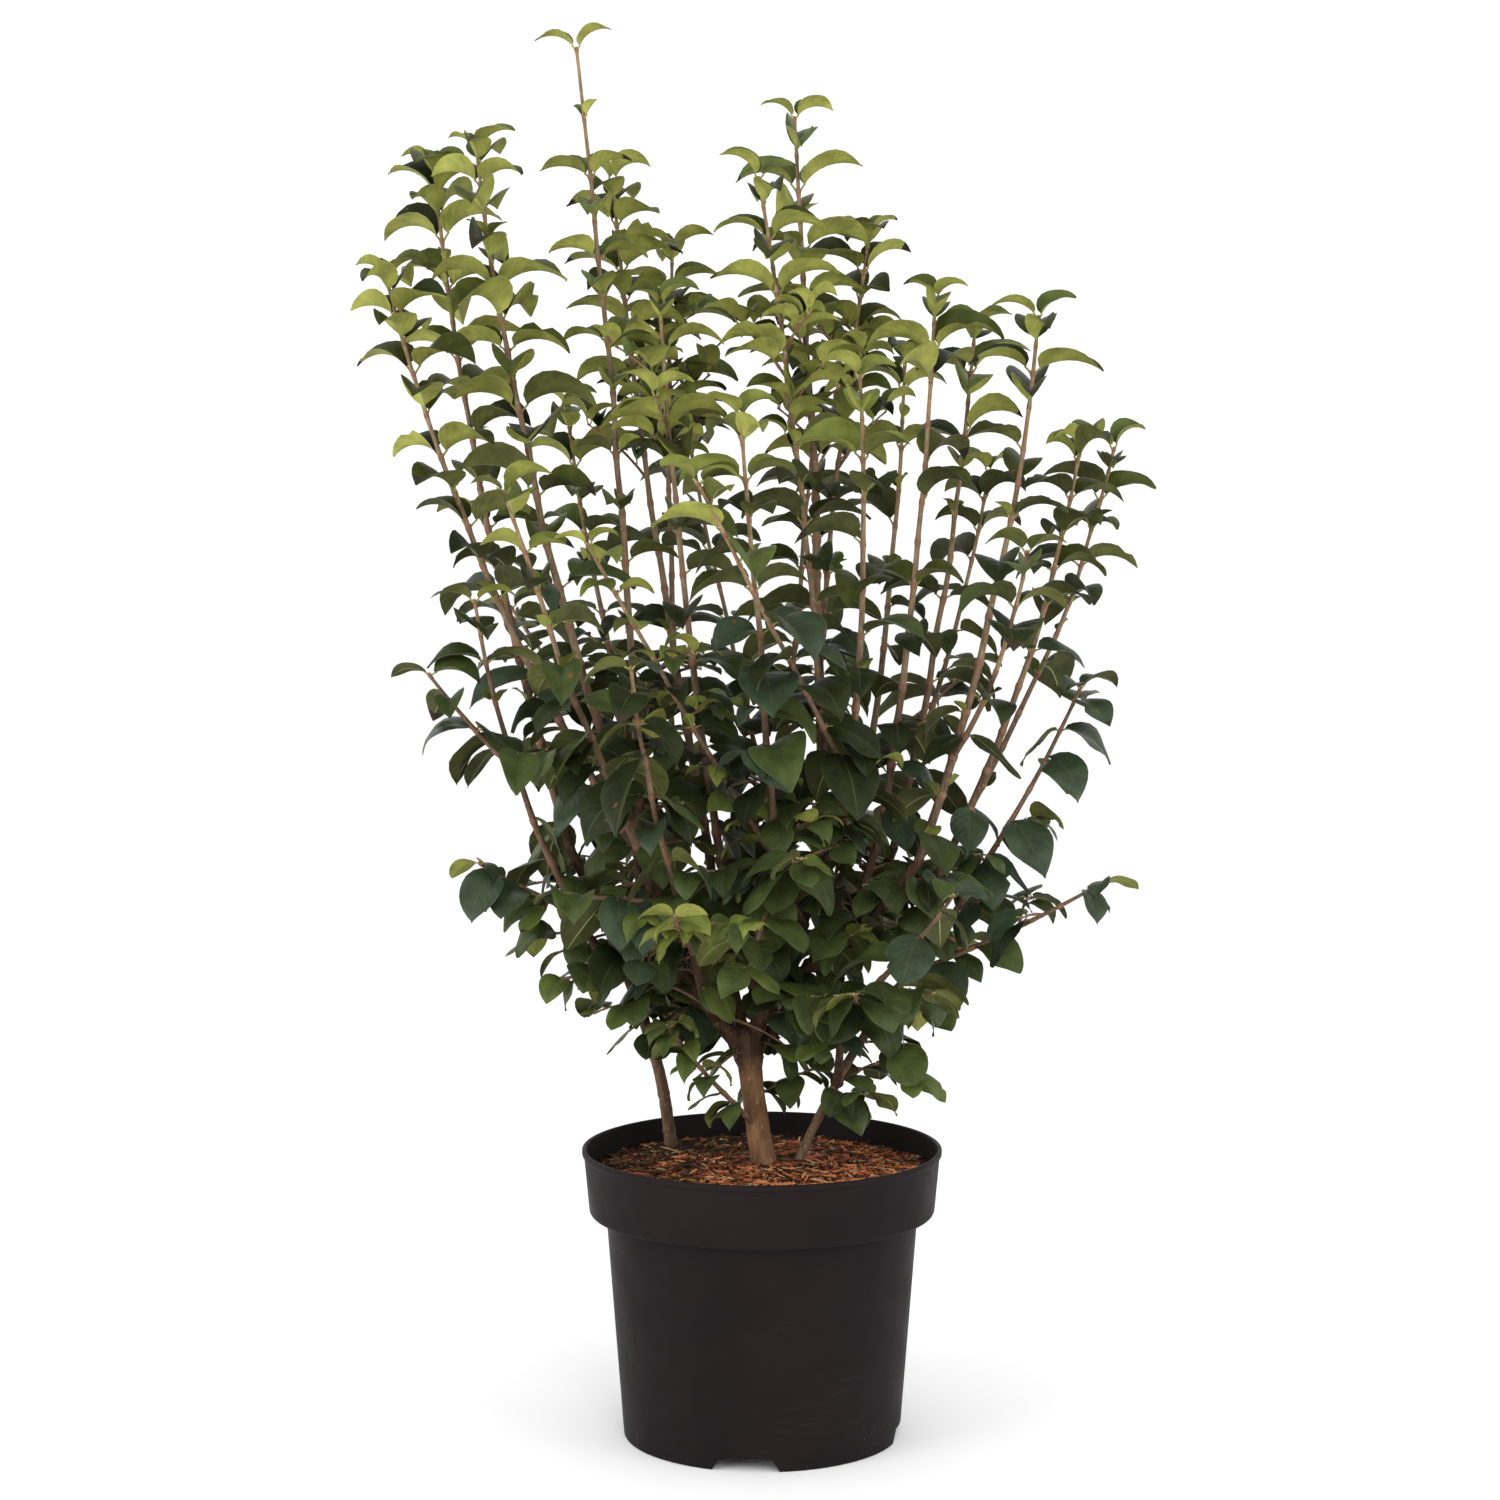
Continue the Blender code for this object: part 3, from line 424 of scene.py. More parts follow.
# Leaves on the last stretch of a shoot may pass the goblet, but not the box of the solids with a little room
END_LENGTH = 0.035
BOX_ROOM = 0.006
OUTER_FROM = 0.68
OUTER_SHARE = 0.3
BOUGH_TWIG_SPACING = 0.021
BOUGH_TWIG_LIFT = (-0.5, 0.4)
BOUGH_TWIG_BOW = 0.08
BOUGH_TWIGS_FROM = 0.300
STEM_TWIGS_FROM = 0.238
LOWEST_TWIG = 0.256
LOWEST_LEAF = 0.234
# Sprays that end below this height get lighter tones, as painted light on the foot
LIT_FOOT_UNTIL = 0.345

# A mass may lean this far over the middle line to its neighbour, and reach this far
LEAN_OVER = 0.020
REACH = 0.105
MARK_STEP = 0.012
# Twigs and leaves keep inside a goblet: its half width, and its depth as a share of that
GOBLET = (
    (0.225, 0.115), (0.300, 0.165), (0.400, 0.235), (0.460, 0.268),
    (0.640, 0.292), (0.760, 0.335), (1.100, 0.350),
)
GOBLET_DEPTH = 0.84

# Upper leaves are larger on some masses and smaller on others
HIGH_SCALES = {
    "middle_tall": 1.02, "front_right": 1.12, "right_inner": 1.10, "right_outer": 1.14, "right_rear": 1.06,
    "tallest": 0.82, "middle_rear": 0.98, "far_left": 1.08, "left_rear": 1.07, "left_tall": 1.09,
}
# Their pairs stand closer on these
CLOSE_MASSES = {"middle_rear", "middle_left", "front_middle", "left_tall"}
# All the side twigs of these grow, out to the goblet
LEAFY_MASSES = {"right_low", "front_right_low"}
LEAFY_FROM = 0.40
# These bear side twigs high up too
TWIGGY_MASSES = {"middle_rear", "middle_left", "middle_tall"}
HIGH_TWIGS = (0.74, 0.85)
HIGH_TWIG_LIFT = 0.9
# Pairs stand wider apart on these, by this much low down and high up
OPEN_MASSES = {"tallest": (1.25, 1.75), "middle_tall": (0.86, 1.4)}
# Young sprigs of fresh green, by mass and shoot
FRESH_SPRIGS = {("front_left_low", 1), ("foot", 0), ("front_middle", 1)}
# Masses at the front whose canes end in fresh green
FRESH_TIPS = {"front_middle", "front_right", "left_front"}
LIT_FRESH_FROM = 0.74
FRESH_TIP_LENGTH = 0.075
HIGH_FRESH_FROM = 0.62

# The leaves are joined in four pieces, by the part of the plant that their mass stands in
LEAF_PIECES = {
    "leaves_left": ("far_left", "left_rear", "left_tall", "left_front", "left_low", "tallest"),
    "leaves_middle": ("middle_rear", "middle_left", "front_middle", "middle_tall", "front_left_low", "foot"),
    "leaves_right": ("front_right", "right_inner", "right_rear", "right_outer", "far_right", "right_low",
                     "front_right_low"),
    "leaves_back": ("back_left", "back_middle", "back_right", "back_low_left", "back_low_right"),
}

Stem = namedtuple("Stem", "name foot tip bow foot_radius tip_radius")
Limb = namedtuple("Limb", "name parent along tip bow foot_radius tip_radius")
Mass = namedtuple("Mass", "name limb along shoots")
Shoot = namedtuple("Shoot", "fork tip bow")
Cane = namedtuple("Cane", "mass line foot_radius tip_radius number is_twig fresh nodes")
Leaf = namedtuple(
    "Leaf",
    "base out size half_width point rise droop fold curl lobe wave phase roll twist top under dry bite",
)
Stalk = namedtuple("Stalk", "foot knee base thick height young")
# A place on a cane where leaves grow, with how high and how young they are there, from 0 to 1
Spot = namedtuple("Spot", "point direction radius from_tip high young")

# Each bow is how far the middle of a line stands from its chord
STEMS = (
    Stem("trunk", (0.002, 0.004), (-0.012, 0.000, 0.312), (-0.001, 0, 0), 0.0095, 0.0086),
    Stem("stem_left", (-0.072, 0.076), (-0.150, 0.032, 0.455), (0.014, -0.016, 0), 0.0050, 0.0038),
    Stem("stem_right", (0.028, 0.010), (0.104, -0.012, 0.352), (-0.006, 0, 0), 0.0036, 0.0034),
)
LIMBS = (
    Limb("bough_middle", "trunk", 0.95, (0.047, 0.012, 0.500), (0.013, 0, 0), 0.0062, 0.0046),
    Limb("bough_left", "trunk", 0.90, (-0.094, 0.002, 0.460), (-0.015, 0, -0.008), 0.0060, 0.0042),
    Limb("bough_right", "bough_middle", 0.24, (0.120, -0.034, 0.455),
         (0.006, -0.008, -0.004), 0.0047, 0.0038),
    Limb("bough_far_left", "bough_left", 0.58, (-0.094, -0.036, 0.462),
         (-0.006, -0.004, 0), 0.0040, 0.0036),
    Limb("bough_left_front", "bough_left", 0.40, (-0.086, -0.070, 0.452),
         (-0.004, -0.010, -0.004), 0.0040, 0.0035),
    Limb("bough_left_rear", "bough_left", 0.66, (-0.096, 0.040, 0.470),
         (0.004, 0.006, -0.004), 0.0038, 0.0035),
    Limb("bough_left_low", "stem_left", 0.60, (-0.142, 0.006, 0.402),
         (0, -0.004, -0.003), 0.0036, 0.0033),
    Limb("bough_front_left_low", "bough_left", 0.20, (-0.052, -0.056, 0.388),
         (-0.002, -0.010, -0.006), 0.0042, 0.0034),
    Limb("bough_middle_left", "bough_middle", 0.13, (-0.032, -0.020, 0.455),
         (-0.004, -0.003, 0), 0.0040, 0.0035),
    Limb("bough_middle_rear", "trunk", 0.92, (-0.042, 0.048, 0.455),
         (-0.002, 0.012, -0.004), 0.0045, 0.0036),
    Limb("bough_front_middle", "bough_middle", 0.50, (0.012, -0.044, 0.440),
         (0.004, -0.008, -0.003), 0.0042, 0.0035),
    Limb("bough_front_right", "bough_middle", 0.74, (0.062, -0.036, 0.490),
         (0.003, -0.006, -0.003), 0.0038, 0.0034),
    Limb("bough_right_inner", "bough_right", 0.52, (0.092, 0.000, 0.470),
         (-0.002, 0.004, 0), 0.0038, 0.0034),
    Limb("bough_right_rear", "bough_right", 0.34, (0.104, 0.044, 0.455),
         (0.004, 0.010, -0.004), 0.0039, 0.0034),
    Limb("bough_far_right", "bough_right", 0.70, (0.138, 0.004, 0.440),
         (0.003, 0.003, -0.005), 0.0037, 0.0034),
    Limb("bough_front_right_low", "stem_right", 0.46, (0.060, -0.042, 0.338),
         (0, -0.006, -0.004), 0.0033, 0.0030),
    Limb("bough_back_left", "trunk", 0.80, (-0.076, 0.084, 0.430),
         (-0.006, 0.012, -0.010), 0.0044, 0.0034),
    Limb("bough_back_middle", "bough_middle", 0.34, (0.006, 0.074, 0.440),
         (0.002, 0.012, -0.006), 0.0042, 0.0034),
    Limb("bough_back_right", "bough_middle", 0.58, (0.074, 0.080, 0.450),
         (0.006, 0.010, -0.006), 0.0040, 0.0034),
    Limb("bough_back_low_left", "trunk", 0.66, (-0.040, 0.066, 0.350),
         (-0.002, 0.008, -0.008), 0.0036, 0.0031),
    Limb("bough_back_low_right", "trunk", 0.84, (0.036, 0.060, 0.362),
         (0.002, 0.008, -0.008), 0.0036, 0.0031),
)
MASSES = (
    Mass("far_left", "bough_far_left", 1, (Shoot(0, (-0.282, -0.030, 0.893), 0.022),)),
    Mass("left_rear", "stem_left", 1, (Shoot(0, (-0.256, 0.070, 0.985), 0.014),)),
    Mass("left_tall", "bough_left", 1, (Shoot(0, (-0.216, -0.010, 0.992), 0.016),)),
    Mass("left_front", "bough_left_front", 1, (Shoot(0, (-0.185, -0.160, 0.735), 0.006),)),
    Mass("left_low", "bough_left_low", 1, (
        Shoot(0, (-0.213, -0.092, 0.655), 0.010),
        Shoot(0.50, (-0.248, -0.084, 0.600), 0.004),
        Shoot(0.02, (-0.216, -0.030, 0.452), 0.004),
    )),
    Mass("tallest", "bough_left_rear", 1, (Shoot(0, (-0.142, 0.026, 1.072), -0.006),)),
    Mass("middle_rear", "bough_middle_rear", 1, (
        Shoot(0, (-0.118, 0.100, 0.978), 0.008),
        Shoot(0.30, (-0.072, 0.150, 0.925), 0.006),
    )),
    Mass("middle_left", "bough_middle_left", 1, (Shoot(0, (-0.076, -0.066, 0.872), 0.006),)),
    Mass("front_middle", "bough_front_middle", 1, (
        Shoot(0, (-0.016, -0.172, 0.789), 0.012),
        Shoot(0.05, (-0.126, -0.152, 0.698), 0.006),
        Shoot(0.03, (0.028, -0.150, 0.470), 0.004),
        Shoot(0.01, (-0.010, -0.125, 0.385), 0.004),
    )),
    Mass("front_left_low", "bough_front_left_low", 1, (
        Shoot(0, (-0.094, -0.188, 0.611), 0.010),
        Shoot(0.06, (-0.063, -0.205, 0.436), 0.004),
        Shoot(0.20, (-0.150, -0.120, 0.440), 0.004),
        Shoot(0.01, (-0.152, -0.056, 0.366), 0.004),
    )),
    Mass("middle_tall", "bough_middle", 1, (
        Shoot(0, (0.025, 0.048, 1.022), 0.004),
        Shoot(0.14, (-0.003, -0.046, 0.968), 0.006),
        Shoot(0.18, (0.086, 0.118, 0.936), -0.006),
    )),
    Mass("front_right", "bough_front_right", 1, (
        Shoot(0, (0.070, -0.132, 0.818), 0.012),
        Shoot(0.10, (-0.046, -0.206, 0.742), 0.010),
    )),
    Mass("right_inner", "bough_right_inner", 1, (Shoot(0, (0.130, -0.030, 0.880), 0.006),)),
    Mass("right_rear", "bough_right_rear", 1, (
        Shoot(0, (0.168, 0.086, 0.862), 0.010),
        Shoot(0.16, (0.186, 0.172, 0.750), 0.008),
    )),
    Mass("right_outer", "bough_right", 1, (
        Shoot(0, (0.206, -0.052, 0.865), 0.014),
        Shoot(0.20, (0.192, -0.130, 0.692), 0.010),
    )),
    Mass("far_right", "bough_far_right", 1, (
        Shoot(0, (0.242, -0.010, 0.769), 0.014),
        Shoot(0.16, (0.278, 0.080, 0.768), 0.012),
    )),
    Mass("right_low", "stem_right", 1, (
        Shoot(0, (0.246, 0.008, 0.584), 0.010),
        Shoot(0.05, (0.258, -0.064, 0.442), 0.006),
    )),
    Mass("front_right_low", "bough_front_right_low", 1, (
        Shoot(0, (0.139, -0.140, 0.442), 0.008),
        Shoot(0.08, (0.066, -0.160, 0.372), 0.008),
        Shoot(0.12, (0.112, -0.072, 0.290), 0.006),
    )),
    Mass("foot", "trunk", 0.30, (Shoot(0, (-0.071, -0.084, 0.336), 0.004),)),
    Mass("back_left", "bough_back_left", 1, (
        Shoot(0, (-0.160, 0.196, 0.800), 0.014),
        Shoot(0.24, (-0.204, 0.150, 0.640), 0.008),
    )),
    Mass("back_middle", "bough_back_middle", 1, (
        Shoot(0, (0.042, 0.200, 0.768), 0.012),
        Shoot(0.08, (-0.060, 0.192, 0.778), 0.010),
    )),
    Mass("back_right", "bough_back_right", 1, (
        Shoot(0, (0.118, 0.190, 0.842), 0.012),
        Shoot(0.20, (0.176, 0.188, 0.590), 0.008),
    )),
    Mass("back_low_left", "bough_back_low_left", 1, (
        Shoot(0, (-0.118, 0.184, 0.470), 0.010),
        Shoot(0.10, (-0.020, 0.206, 0.440), 0.008),
    )),
    Mass("back_low_right", "bough_back_low_right", 1, (
        Shoot(0, (0.136, 0.150, 0.440), 0.010),
        Shoot(0.10, (0.070, 0.208, 0.480), 0.008),
    )),
)


def eased(low, high, value):
    """Runs smoothly from 0 to 1 while the value runs from low to high, which may lie below low."""
    share = min(1.0, max(0.0, (value - low) / (high - low)))
    return share * share * (3 - 2 * share)


def between(first, second, share):
    return first + (second - first) * share


def hump(value, middle, reach):
    """1 where the value is in the middle, and falling smoothly to 0 on both sides of it."""
    return math.exp(-(((value - middle) / reach) ** 2))


# Materials


class Nodes:
    """Short ways to add nodes to the tree of a material or a group."""

    def __init__(self, tree):
        self.nodes = tree.nodes
        self.links = tree.links

    def put(self, value, socket):
        """Gives a socket a number, a plain colour or a vector, or links another socket to it."""
        if isinstance(value, (int, float)):
            socket.default_value = value
        elif isinstance(value, tuple):
            socket.default_value = value if len(value) == len(socket.default_value) else (*value, 1)
        else:
            self.links.new(value, socket)

    def add(self, kind, **inputs):
        """A new node with values for its named inputs."""
        node = self.nodes.new("ShaderNode" + kind)
        for name, value in inputs.items():
            self.put(value, node.inputs[name.replace("_", " ")])
        return node

    def split(self, vector):
        return self.add("SeparateXYZ", Vector=vector).outputs

    def ranged(self, value, low, high, first=0.0, last=1.0):
        node = self.add("MapRange", Value=value, From_Min=low, From_Max=high, To_Min=first, To_Max=last)
        return node.outputs["Result"]

    def maths(self, operation, first, second=0.0):
        node = self.add("Math")
        node.operation = operation
        self.put(first, node.inputs[0])
        self.put(second, node.inputs[1])
        return node.outputs[0]

    def times(self, first, second):
        return self.maths("MULTIPLY", first, second)

    def plus(self, first, second):
        return self.maths("ADD", first, second)


class Paint(Nodes):
    """A material with one shader, and short ways to give it patterns."""

    def __init__(self, name, colour, roughness, specular=0.5):
        self.material = bpy.data.materials.new(name)
        self.material.use_nodes = True
        super().__init__(self.material.node_tree)
        self.shader = self.nodes["Principled BSDF"].inputs
        self.shader["Base Color"].default_value = (*colour, 1)
        self.shader["Roughness"].default_value = roughness
        self.shader["Specular IOR Level"].default_value = specular

    def coordinates(self, source="Object", stretch=(1, 1, 1)):
        place = self.add("TexCoord").outputs[source]
        return self.add("Mapping", Vector=place, Scale=stretch).outputs["Vector"]

    def noise(self, scale, detail=3.0, source="Object", stretch=(1, 1, 1)):
        place = self.coordinates(source, stretch)
        return self.add("TexNoise", Vector=place, Scale=scale, Detail=detail, Roughness=0.55).outputs["Fac"]

    def cells(self, scale, stretch=(1, 1, 1)):
        place = self.coordinates(stretch=stretch)
        return self.add("TexVoronoi", Vector=place, Scale=scale).outputs["Distance"]

    def ramp(self, value, *stops):
        """A colour for each of some places from 0 to 1."""
        node = self.add("ValToRGB", Fac=value)
        elements = node.color_ramp.elements
        while len(elements) < len(stops):
            elements.new(0.5)
        for element, (place, colour) in zip(elements, stops):
            element.position = place
            element.color = (*colour, 1)
        return node.outputs["Color"]

    def mottled(self, value, colour, low, high, dark, light):
        """A colour times dark where the value is low, and times light where it is high."""
        tones = [tuple(share * part for part in colour) for share in (dark, light)]
        return self.ramp(value, (low, tones[0]), (high, tones[1]))

    def mixed(self, share, first, second):
        """Turns one colour to another by a share. Each is a socket or a plain colour."""
        node = self.add("Mix")
        node.data_type = "RGBA"
        for number, value in ((0, share), (6, first), (7, second)):
            self.put(value, node.inputs[number])
        return node.outputs[2]

    def colour(self, socket):
        self.put(socket, self.shader["Base Color"])

    def bump(self, height, distance, strength):
        node = self.add("Bump", Strength=strength, Distance=distance, Height=height)
        self.put(node.outputs["Normal"], self.shader["Normal"])


def plastic_material():
    """Black moulded plastic, with level rubs, dust and small scratches."""
    paint = Paint("pot_plastic", PLASTIC, 0.5, 0.05)
    tone = paint.mottled(paint.noise(9.0, 4.0), PLASTIC, 0.3, 0.72, 0.86, 1.25)
    rubs = paint.ranged(paint.noise(1.0, 6.0, "UV", (22, 260, 1)), 0.56, 0.78)
    rubbed = paint.times(rubs, paint.ranged(paint.noise(7.0, 2.0), 0.52, 0.70))
    dust = paint.ranged(paint.cells(150.0), 0.05, 0.10, 1.0, 0.0)
    dusty = paint.times(dust, paint.ranged(paint.noise(16.0, 2.0), 0.58, 0.66))
    marked = paint.mixed(paint.times(rubbed, 0.5), tone, PLASTIC_RUBBED)
    paint.colour(paint.mixed(paint.times(dusty, 0.5), marked, PLASTIC_DUST))
    paint.put(paint.ranged(paint.noise(30.0, 5.0), 0.3, 0.7, 0.46, 0.60), paint.shader["Roughness"])
    paint.bump(paint.plus(paint.times(paint.noise(900.0, 2.0), 0.16), paint.noise(26.0)), 0.0004, 0.5)
    return paint.material


def soil_material():
    paint = Paint("potting_mix", SOIL_COLOUR, 0.95, 0.2)
    fine = paint.noise(260.0, 5.0)
    paint.colour(paint.ramp(fine, *SOIL_TONES))
    paint.bump(fine, 0.002, 0.8)
    return paint.material


def chip_material(name, colour):
    """Split bark or wood with its grain."""
    paint = Paint(name, colour, 0.85, 0.10)
    grain = paint.noise(420.0, 4.0)
    paint.colour(paint.mottled(grain, colour, 0.32, 0.70, 0.55, 1.25))
    paint.bump(grain, 0.0006, 0.6)
    return paint.material


def rough_material(name, colour, roughness, specular, scale, depth, strength=0.6):
    """One plain colour with a fine uneven surface."""
    paint = Paint(name, colour, roughness, specular)
    paint.bump(paint.noise(scale), depth, strength)
    return paint.material


def bark_material(name, bark, scale, above=None):
    """Bark with long fine grain and small raised pores. From near the fork up it takes the colours of above,
    as painted shade where the leaves shade it.
    """
    paint = Paint(name, bark.light, 0.78, 0.3)
    grain = paint.noise(scale, 5.0, stretch=(1, 1, 0.22))
    patches = paint.noise(34.0, stretch=(1, 1, 0.6))
    blend = paint.plus(paint.times(grain, 0.6), paint.times(patches, 0.4))
    tone = paint.ramp(blend, (0.38, bark.dark), (0.64, bark.light))
    pores = paint.ranged(paint.cells(scale * 0.72, (1, 1, 0.55)), 0.12, 0.24, 1.0, 0.0)
    tone = paint.mixed(paint.times(pores, 0.7), tone, bark.pore)
    if above:
        # Painted shade: from this height up the bark takes the darker colours of above
        ragged = paint.plus(paint.split(paint.coordinates())["Z"], paint.times(patches, FORK_RAGGED))
        shaded_tone = paint.ramp(blend, (0.38, above.dark), (0.64, above.light))
        tone = paint.mixed(paint.ranged(ragged, FORK_SHADE_FROM, FORK_SHADE_UNTIL), tone, shaded_tone)
    paint.colour(tone)
    paint.bump(paint.plus(grain, paint.times(pores, 0.5)), 0.0005, 0.7)
    return paint.material


def vein_group():
    """Side veins of a leaf, from its UV map: thin lines, and the surface swelling between them. The lines
    also hold a paler band along the margin, painted rim light.
    """
    group = bpy.data.node_groups.new("leaf_veins", "ShaderNodeTree")
    for name in ("Line", "Swelling"):
        group.interface.new_socket(name, in_out="OUTPUT", socket_type="NodeSocketFloat")
    web = Nodes(group)
    place = web.split(web.add("UVMap").outputs["UV"])

    def from_middle(value):
        return web.times(web.maths("ABSOLUTE", web.maths("SUBTRACT", value, 0.5)), 2.0)

    across = from_middle(place["Y"])
    lean = web.times(web.maths("POWER", across, 1.3), VEIN_LEAN)
    from_line = from_middle(web.maths("FRACT", web.times(web.maths("SUBTRACT", place["X"], lean), VEINS)))
    fading = web.times(web.ranged(from_line, 0.86, 1.0), web.maths("SUBTRACT", 1.05, across))
    # Painted rim light: a paler band along the margin
    rim_light = web.times(web.ranged(across, 0.92, 1.0), RIM_LIGHT_SHARE)
    out = web.nodes.new("NodeGroupOutput")
    web.put(web.maths("MAXIMUM", web.times(fading, VEIN_SHARE), rim_light), out.inputs["Line"])
    web.put(web.maths("SUBTRACT", 1.0, web.maths("POWER", from_line, 2.5)), out.inputs["Swelling"])
    return group


def leaf_material(name, colour, vein, gloss, veins):
    """One tone of leaf. The veins are sunk in the upper side, and stand out on the under side."""
    is_under = name.startswith("under")
    paint = Paint(name, colour, 0.66 if is_under else 0.40, gloss)
    pattern = paint.add("Group")
    pattern.node_tree = veins
    tone = paint.mottled(paint.noise(60.0), colour, 0.36, 0.66, 0.74, 1.24)
    # The vein colour also paints the paler margin, as painted rim light
    lined = paint.mixed(pattern.outputs["Line"], tone, vein)
    if not is_under and name != "leaf_fresh":
        lined = paint.mixed(paint.ranged(paint.noise(75.0, 2.0), 0.735, 0.76), lined, LEAF_SPOTS)
    paint.colour(lined)
    relief = paint.times(pattern.outputs["Swelling"], -0.38 if is_under else 0.28)
    paint.bump(paint.plus(relief, paint.times(paint.noise(500.0, 2.0), 0.12)), 0.0007, 0.8)
    return paint.material


def leaf_materials():
    veins = vein_group()
    made = [leaf_material(*tone, veins) for tone in TONES]
    made.append(Paint("rib_pale", RIB_PALE_COLOUR, 0.5, 0.3).material)
    made.append(Paint("rib_deep", RIB_DEEP_COLOUR, 0.5, 0.2).material)
    made.append(rough_material("leaf_dry", DRY_COLOUR, 0.8, 0.2, 420.0, 0.0006, 0.8))
    return made


# Meshes


class MeshBag:
    """Collects meshes, with a material number for each face, and makes them one object."""

    def __init__(self):
        self.verts = []
        self.faces = []
        self.slots = []
        self.places = []
        self.count = 0

    def add(self, verts, faces, places=None, slots=0):
        """slots is one number or a list with one for each face; places are UV places of the points."""
        verts = np.asarray(verts, float).reshape(-1, 3)
        self.verts.append(verts)
        self.faces += [tuple(corner + self.count for corner in face) for face in faces]
        self.slots += [slots] * len(faces) if isinstance(slots, int) else list(slots)
        self.places.append(np.zeros((len(verts), 2)) if places is None else np.asarray(places, float))
        self.count += len(verts)
        return self

    def make(self, name, materials, sharp=math.radians(60)):
        mesh = bpy.data.meshes.new(name)
        mesh.from_pydata(np.concatenate(self.verts).tolist(), [], self.faces)
        for material in materials:
            mesh.materials.append(material)
        mesh.polygons.foreach_set("material_index", self.slots)
        corners = np.zeros(len(mesh.loops), int)
        mesh.loops.foreach_get("vertex_index", corners)
        layer = mesh.uv_layers.new(name="UVMap")
        layer.data.foreach_set("uv", np.concatenate(self.places)[corners].ravel())
        mesh.shade_smooth()
        mesh.set_sharp_from_angle(angle=sharp)
        item = bpy.data.objects.new(name, mesh)
        bpy.context.scene.collection.objects.link(item)
        return item


def settle(piece, nodes):
    """Says what a finished piece rides on and stands for."""
    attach(piece, "root")
    if nodes:
        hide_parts(*nodes)
    return piece


def curve_point(start, control, end, t):
    """A point on the curve that leaves start towards control and bends to end."""
    return (1 - t) ** 2 * start + 2 * t * (1 - t) * control + t * t * end


def bent_line(start, tip, bow, step):
    """Points on one curve from start to tip whose middle stands off its chord by bow."""
    start, tip = Vector(start), Vector(tip)
    control = (start + tip) / 2 + 2 * Vector(bow)
    count = max(2, round((tip - start).length / step))
    return [curve_point(start, control, tip, i / count) for i in range(count + 1)]


class Line:
    """A smooth run of points that can be read at any distance along it."""

    def __init__(self, points):
        self.points = points
        self.lengths = [0.0]
        for a, b in zip(points, points[1:]):
            self.lengths.append(self.lengths[-1] + (b - a).length)
        self.whole = self.lengths[-1]
        self.directions = []
        last = len(points) - 1
        for i in range(last + 1):
            self.directions.append((points[min(i + 1, last)] - points[max(i - 1, 0)]).normalized())

    def place(self, distance):
        """The point at a distance from the start, and the direction there."""
        i = int(np.searchsorted(self.lengths, distance))
        i = min(max(i, 1), len(self.points) - 1)
        share = (distance - self.lengths[i - 1]) / (self.lengths[i] - self.lengths[i - 1])
        direction = self.directions[i - 1].lerp(self.directions[i], min(max(share, 0.0), 1.0))
        return self.points[i - 1].lerp(self.points[i], share), direction.normalized()


def wandering(points, amount, seed):
    """The points moved a little to the sides, and least at the ends, as a grown limb wanders."""
    moved = []
    last = len(points) - 1
    for i, point in enumerate(points):
        drift = noise.noise_vector(point * 14 + Vector((seed, 0, 0)))
        moved.append(point + drift * amount * math.sin(math.pi * i / last))
    return moved


def ring_faces(rings, sides):
    """Faces between rings of points that follow each other."""
    faces = []
    for near in range(0, (rings - 1) * sides, sides):
        far = near + sides
        for side in range(sides):
            after = (side + 1) % sides
            faces.append((near + side, near + after, far + after, far + side))
    return faces


def tube(line, distances, radii, sides, relief=None):
    """Points, faces and UV places of a tube along a line, closed by a flat end on each side."""
    across = line.place(distances[0])[1].orthogonal().normalized()
    verts, places = [], []
    for distance, radius in zip(distances, radii):
        point, direction = line.place(distance)
        across = (across - direction * across.dot(direction)).normalized()
        beside = direction.cross(across)
        for side in range(sides):
            angle = math.tau * side / sides
            out = across * math.cos(angle) + beside * math.sin(angle)
            wide = radius + (relief(point + out * radius, distance, angle) if relief else 0.0)
            verts.append(point + out * wide)
            places.append((side / sides, distance))
    rings = len(distances)
    faces = ring_faces(rings, sides)
    faces.append(tuple(reversed(range(sides))))
    faces.append(tuple(range((rings - 1) * sides, rings * sides)))
    return verts, faces, places


def rounded_end(distances, radii, steps=3):
    """Adds rings that close a tube's tip with a round end."""
    end, radius = distances[-1], radii[-1]
    turns = [math.pi / 2 * step / (steps + 0.4) for step in range(1, steps + 1)]
    return (distances + [end + radius * math.sin(turn) for turn in turns],
            radii + [radius * math.cos(turn) for turn in turns])


# The pot


def pot_inner_radius(height):
    """The radius of the pot's inner wall at a height inside its collar."""
    share = (height - COLLAR_FOOT) / COLLAR_DEPTH
    return between(COLLAR_FOOT_RADIUS - WALL, INNER_RIM, share)


def rounded_profile(corners):
    """A run of (radius, height) points from (radius, height, rounding) corners, each cut by an arc."""
    profile = [corners[0][:2]]
    for before, corner, after in zip(corners, corners[1:], corners[2:]):
        point = Vector(corner[:2])
        back = Vector(before[:2]) - point
        on = Vector(after[:2]) - point
        room = min(corner[2], back.length * 0.48, on.length * 0.48)
        first, last = point + back.normalized() * room, point + on.normalized() * room
        profile += [
            tuple(curve_point(first, point, last, step / CORNER_STEPS)) for step in range(CORNER_STEPS + 1)
        ]
    profile.append(corners[-1][:2])
    return profile


